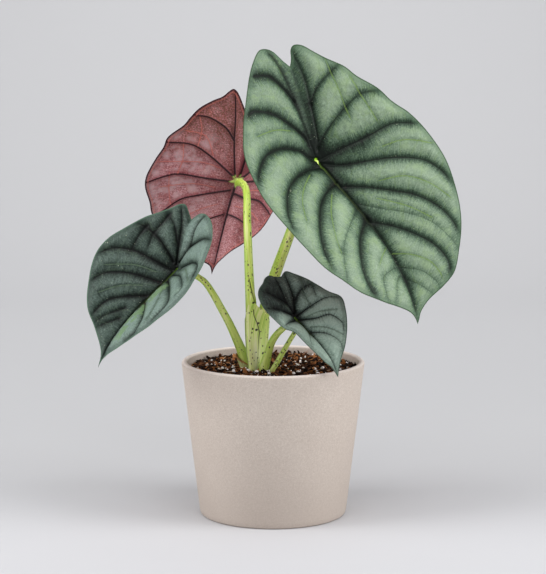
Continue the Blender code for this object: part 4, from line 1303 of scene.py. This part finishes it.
def scattered(draw, count, inside):
    """That many random places on the soil, away from the stalks."""
    x, y = np.zeros(0), np.zeros(0)
    while len(x) < count:
        far = inside * np.sqrt(draw.uniform(0, 1, count))
        angle = draw.uniform(0, 2 * math.pi, count)
        px, py = far * np.cos(angle), far * np.sin(angle)
        free = clear_of_stalks(px, py)
        x, y = np.concatenate([x, px[free]]), np.concatenate([y, py[free]])
    return x[:count], y[:count]


def turned_about(draw, count, tilt):
    """Random turn matrices: any way round, leaning up to the tilt in radians."""
    turned = np.eye(3)
    angles = (draw.uniform(0, 2 * math.pi, count), draw.normal(0.0, tilt, count), draw.normal(0.0, tilt, count))
    for axis, angle in zip((2, 1, 0), angles):
        a, b = (axis + 1) % 3, (axis + 2) % 3
        about = np.zeros((count, 3, 3))
        about[:, axis, axis] = 1.0
        about[:, a, a] = about[:, b, b] = np.cos(angle)
        about[:, b, a], about[:, a, b] = np.sin(angle), -np.sin(angle)
        turned = turned @ about
    return turned


def repeated(faces, count, points_each):
    return (faces[None, :, :] + (np.arange(count) * points_each)[:, None, None]).reshape(-1, faces.shape[1])


def make_bits(name, draw, places, size, shape, tilt, jitter, look, lift):
    """Many small closed lumps in one piece. size is (length, width, thickness) arrays, shape the
    half widths at each station along a lump."""
    x, y = places
    count = len(x)
    stations, sides = len(shape), 6
    turn = (np.arange(sides) + 0.5) / sides * 2 * math.pi
    along = np.linspace(-0.5, 0.5, stations)
    ring = np.array([
        (a, w * math.cos(t) / 2, w * math.sin(t) / 2) for a, w in zip(along, shape) for t in turn
    ])
    template = np.vstack([ring, [[-0.56, 0, 0]], [[0.56, 0, 0]]])
    bits = np.repeat(template[None, :, :], count, axis=0)
    bits = bits * (1 + draw.uniform(-jitter, jitter, bits.shape))
    bits += draw.uniform(-jitter, jitter, bits.shape) * 0.12
    bend = draw.normal(0.0, 0.22, count)[:, None]
    bits[:, :, 1] += bend * (bits[:, :, 0] ** 2)
    bits = bits * np.stack(size, axis=1)[:, None, :]
    matrices = turned_about(draw, count, tilt)
    bits = np.einsum("nij,nkj->nki", matrices, bits)
    z = soil_height(x, y) + lift
    bits += np.stack([x, y, z], axis=1)[:, None, :]
    # Nothing reaches through the pot's wall.
    far = np.hypot(bits[:, :, 0], bits[:, :, 1])
    pull = np.minimum(1.0, (SOIL_RADIUS + 0.3) / np.maximum(far, 1e-6))
    bits[:, :, :2] *= pull[:, :, None]
    quads, caps = tube_faces(stations, sides)
    each = template.shape[0]
    obj = new_piece(
        name, bits.reshape(-1, 3) * MM, [repeated(faces, count, each) for faces in (caps, quads)], [look],
    )
    point_values(obj, "bit", np.repeat(draw.uniform(0, 1, (count, 3)), each, axis=0))
    return obj


def bark_material(name, stops):
    look = Look(name, Roughness=0.88, Specular_IOR_Level=0.12)
    kind = look.values("bit")[0]
    spot = look.place()
    grain = spot.noise(1500.0, 3.0, 0.7)
    coarse = spot.noise(420.0, 2.0)
    tone = kind * 0.82 + grain * 0.22 + coarse * 0.12 - 0.08
    look.colour = tone.ramp(stops)
    return look.finish(None, grain + coarse, strength=0.7, depth=0.4 * MM)


def make_soil_bits():
    draw = np.random.default_rng(33)
    bark = bark_material(
        "bark_chips",
        [
            (0.0, (12, 8, 6)), (0.42, (40, 25, 16)), (0.66, (84, 52, 31)), (0.85, (150, 97, 56)),
            (1.0, (222, 168, 112)),
        ],
    )
    size = (draw.uniform(2.4, 8.0, CHIPS), draw.uniform(1.5, 3.9, CHIPS), draw.uniform(0.7, 2.0, CHIPS))
    make_bits(
        "bark_chips", draw, scattered(draw, CHIPS, SOIL_RADIUS - 0.6), size, (0.45, 0.95, 1.05, 0.5), 0.42, 0.24,
        bark, draw.uniform(-0.4, 1.9, CHIPS),
    )
    white = Look("perlite", Roughness=0.85)
    kind = white.values("bit")[0]
    fine = white.place().noise(1600.0, 3.0, 0.7)
    white.colour = (kind * 0.5 + fine * 0.5).ramp([(0.2, (226, 220, 208)), (0.55, (253, 251, 247))])
    white = white.finish(None, fine, strength=0.6, depth=0.3 * MM)
    girth = 0.9 + 2.3 * draw.uniform(0.0, 1.0, PERLITE_BITS) ** 1.5
    size = (girth * draw.uniform(0.9, 1.5, PERLITE_BITS), girth, girth * draw.uniform(0.7, 1.0, PERLITE_BITS))
    make_bits(
        "perlite", draw, scattered(draw, PERLITE_BITS, SOIL_RADIUS - 1.5), size, (0.62, 0.96, 1.0, 0.66), 0.8, 0.2,
        white, draw.uniform(0.9, 2.4, PERLITE_BITS),
    )
    fibre = bark_material(
        "coir_fibres",
        [(0.0, (90, 54, 30)), (0.4, (158, 100, 54)), (0.7, (212, 158, 104)), (1.0, (240, 226, 200))],
    )
    size = (draw.uniform(5.0, 13.0, FIBRES), draw.uniform(0.35, 0.7, FIBRES), draw.uniform(0.35, 0.6, FIBRES))
    make_bits(
        "coir_fibres", draw, scattered(draw, FIBRES, SOIL_RADIUS - 5.0), size,
        (0.5, 0.9, 1.0, 0.9, 0.8, 0.4), 0.22, 0.12,
        fibre, draw.uniform(0.9, 1.9, FIBRES),
    )


# ---- Pot ----

POT_HEIGHT = 118.5
POT_BASE_RADIUS = 56.0
POT_RIM_RADIUS = 70.0
POT_WALL = 4.6
POT_FLOOR = 6.0
POT_BASE_ROUND = 2.2
POT_SIDES = 288


def pot_radius(height):
    return POT_BASE_RADIUS + (POT_RIM_RADIUS - POT_BASE_RADIUS) * height / POT_HEIGHT


def make_pot():
    """The pot turned from its wall's profile, with the slight unevenness of cast clay."""
    lip = POT_WALL / 2
    lip_height = POT_HEIGHT - lip
    lip_middle = pot_radius(lip_height) - lip
    inner_floor = pot_radius(POT_FLOOR) - POT_WALL
    corner = POT_BASE_ROUND
    profile = [
        (0.01, POT_FLOOR), (inner_floor - corner, POT_FLOOR), (inner_floor + 0.3 * corner, POT_FLOOR + corner),
    ]
    inner_top = lip_middle - lip
    for level in np.linspace(POT_FLOOR + 2 * corner, lip_height - 1.0, 50):
        profile.append((pot_radius(level) - POT_WALL, level))
    profile[-1] = (inner_top - 0.05, lip_height - 1.0)
    for turn in np.linspace(math.pi, 0.0, 15):
        profile.append((lip_middle + lip * math.cos(turn), lip_height + lip * math.sin(turn) * 0.92))
    for level in np.linspace(lip_height - 1.5, corner + 1.0, 80):
        profile.append((pot_radius(level), level))
    for turn in np.linspace(0.0, -math.pi / 2, 10):
        profile.append((POT_BASE_RADIUS - corner + corner * math.cos(turn), corner + corner * math.sin(turn)))
    profile.append((0.01, 0.0))
    profile = np.array(profile)
    turn = np.arange(POT_SIDES) / POT_SIDES * 2 * math.pi
    radius = np.repeat(profile[:, 0], POT_SIDES)
    level = np.repeat(profile[:, 1], POT_SIDES)
    angle = np.tile(turn, len(profile))
    uneven = 0.06 * np.sin(2 * angle + 0.02 * level) + 0.035 * np.sin(5 * angle - 0.05 * level + 1)
    uneven += 0.03 * np.sin(0.11 * level + 2 * np.sin(angle))
    radius = radius + uneven * smoothstep(20.0, 50.0, radius) * smoothstep(1.0, 6.0, level)
    points = np.column_stack([radius * np.cos(angle), radius * np.sin(angle), level])
    quads = grid_faces(len(profile), POT_SIDES, closed=True)
    this = np.arange(POT_SIDES)
    last = (len(profile) - 1) * POT_SIDES
    caps = [this[None, :][:, ::-1], (last + this)[None, :]]
    look = Look("matte_clay", Roughness=0.72, Specular_IOR_Level=0.35)
    spot = look.place()
    fine = spot.noise(1700.0, 3.0, 0.7)
    sand = spot.noise(800.0, 4.0, 0.65)
    broad = spot.noise(22.0, 3.0, 0.6)
    tone = fine * 0.45 + sand * 0.42 + broad * 0.13
    look.colour = tone.ramp([(0.36, (182, 169, 158)), (0.5, (198, 186, 176)), (0.64, (213, 203, 193))])
    level = spot.apart()[2]
    # Painted shade: darker towards the bottom of the pot.
    look.paint(level.fade(0.09, 0.0) * 0.55, (174, 161, 151))
    # Painted highlight along the lip's top edge.
    look.paint(level.fade(0.1166, 0.118) * 0.7, (240, 232, 224))
    grit = spot.cells(900.0)[0]
    look.paint(grit.fade(0.22, 0.1) * 0.22, (160, 146, 134))
    rough = 0.64 + sand * 0.18
    height = fine * 0.5 + sand * 0.8 + grit.fade(0.25, 0.1) * -0.5
    material = look.finish(rough, height, strength=0.35, depth=0.25 * MM)
    faces = [part[:, ::-1] for part in (quads, *caps)]
    new_piece("clay_pot", points * MM, faces, [material], ["pot"])


def roll_material():
    """The young leaf's outside: its purple-green underside with a darker seam."""
    look = Look("rolled_leaf", Roughness=0.42)
    across, ahead, reach = look.values("skin")
    seam, _, height = look.values("stalk")
    fibre = look.joined(across * 5.0, ahead * 5.0, reach * 0.08).noise(1.0, 3.0, 0.6)
    look.colour = fibre.ramp([(0.3, (70, 46, 44)), (0.55, (104, 74, 66)), (0.75, (128, 116, 84))])
    look.paint(height.fade(160.0, 152.0) * 0.8, (150, 172, 84))
    look.paint(seam * 0.6, (58, 30, 34))
    return look.finish(None, fibre, strength=0.4, depth=0.3 * MM)


# ---- Making ----

make_camera()
make_studio()
LEAF_MATERIALS = leaf_materials()
STALK_LOOK = stalk_material()
for blade_name in BLADES:
    make_blade(blade_name)
for stalk_name in STALK_ROUTES:
    if stalk_name == "back_leaf_stalk":
        make_stalk(stalk_name, "back_leaf_petiole", STALK_LOOK, back_stalk_shape, SLIT_SIDES)
    elif stalk_name.endswith("_stalk"):
        make_stalk(stalk_name, stalk_name.replace("_stalk", "_petiole"), STALK_LOOK)
make_stalk("young_leaf_roll", "young_rolled_leaf", roll_material(), roll_shape, ROLL_SIDES)
make_sheath()
make_dry_sheath()
make_soil_bed()
make_soil_bits()
make_pot()
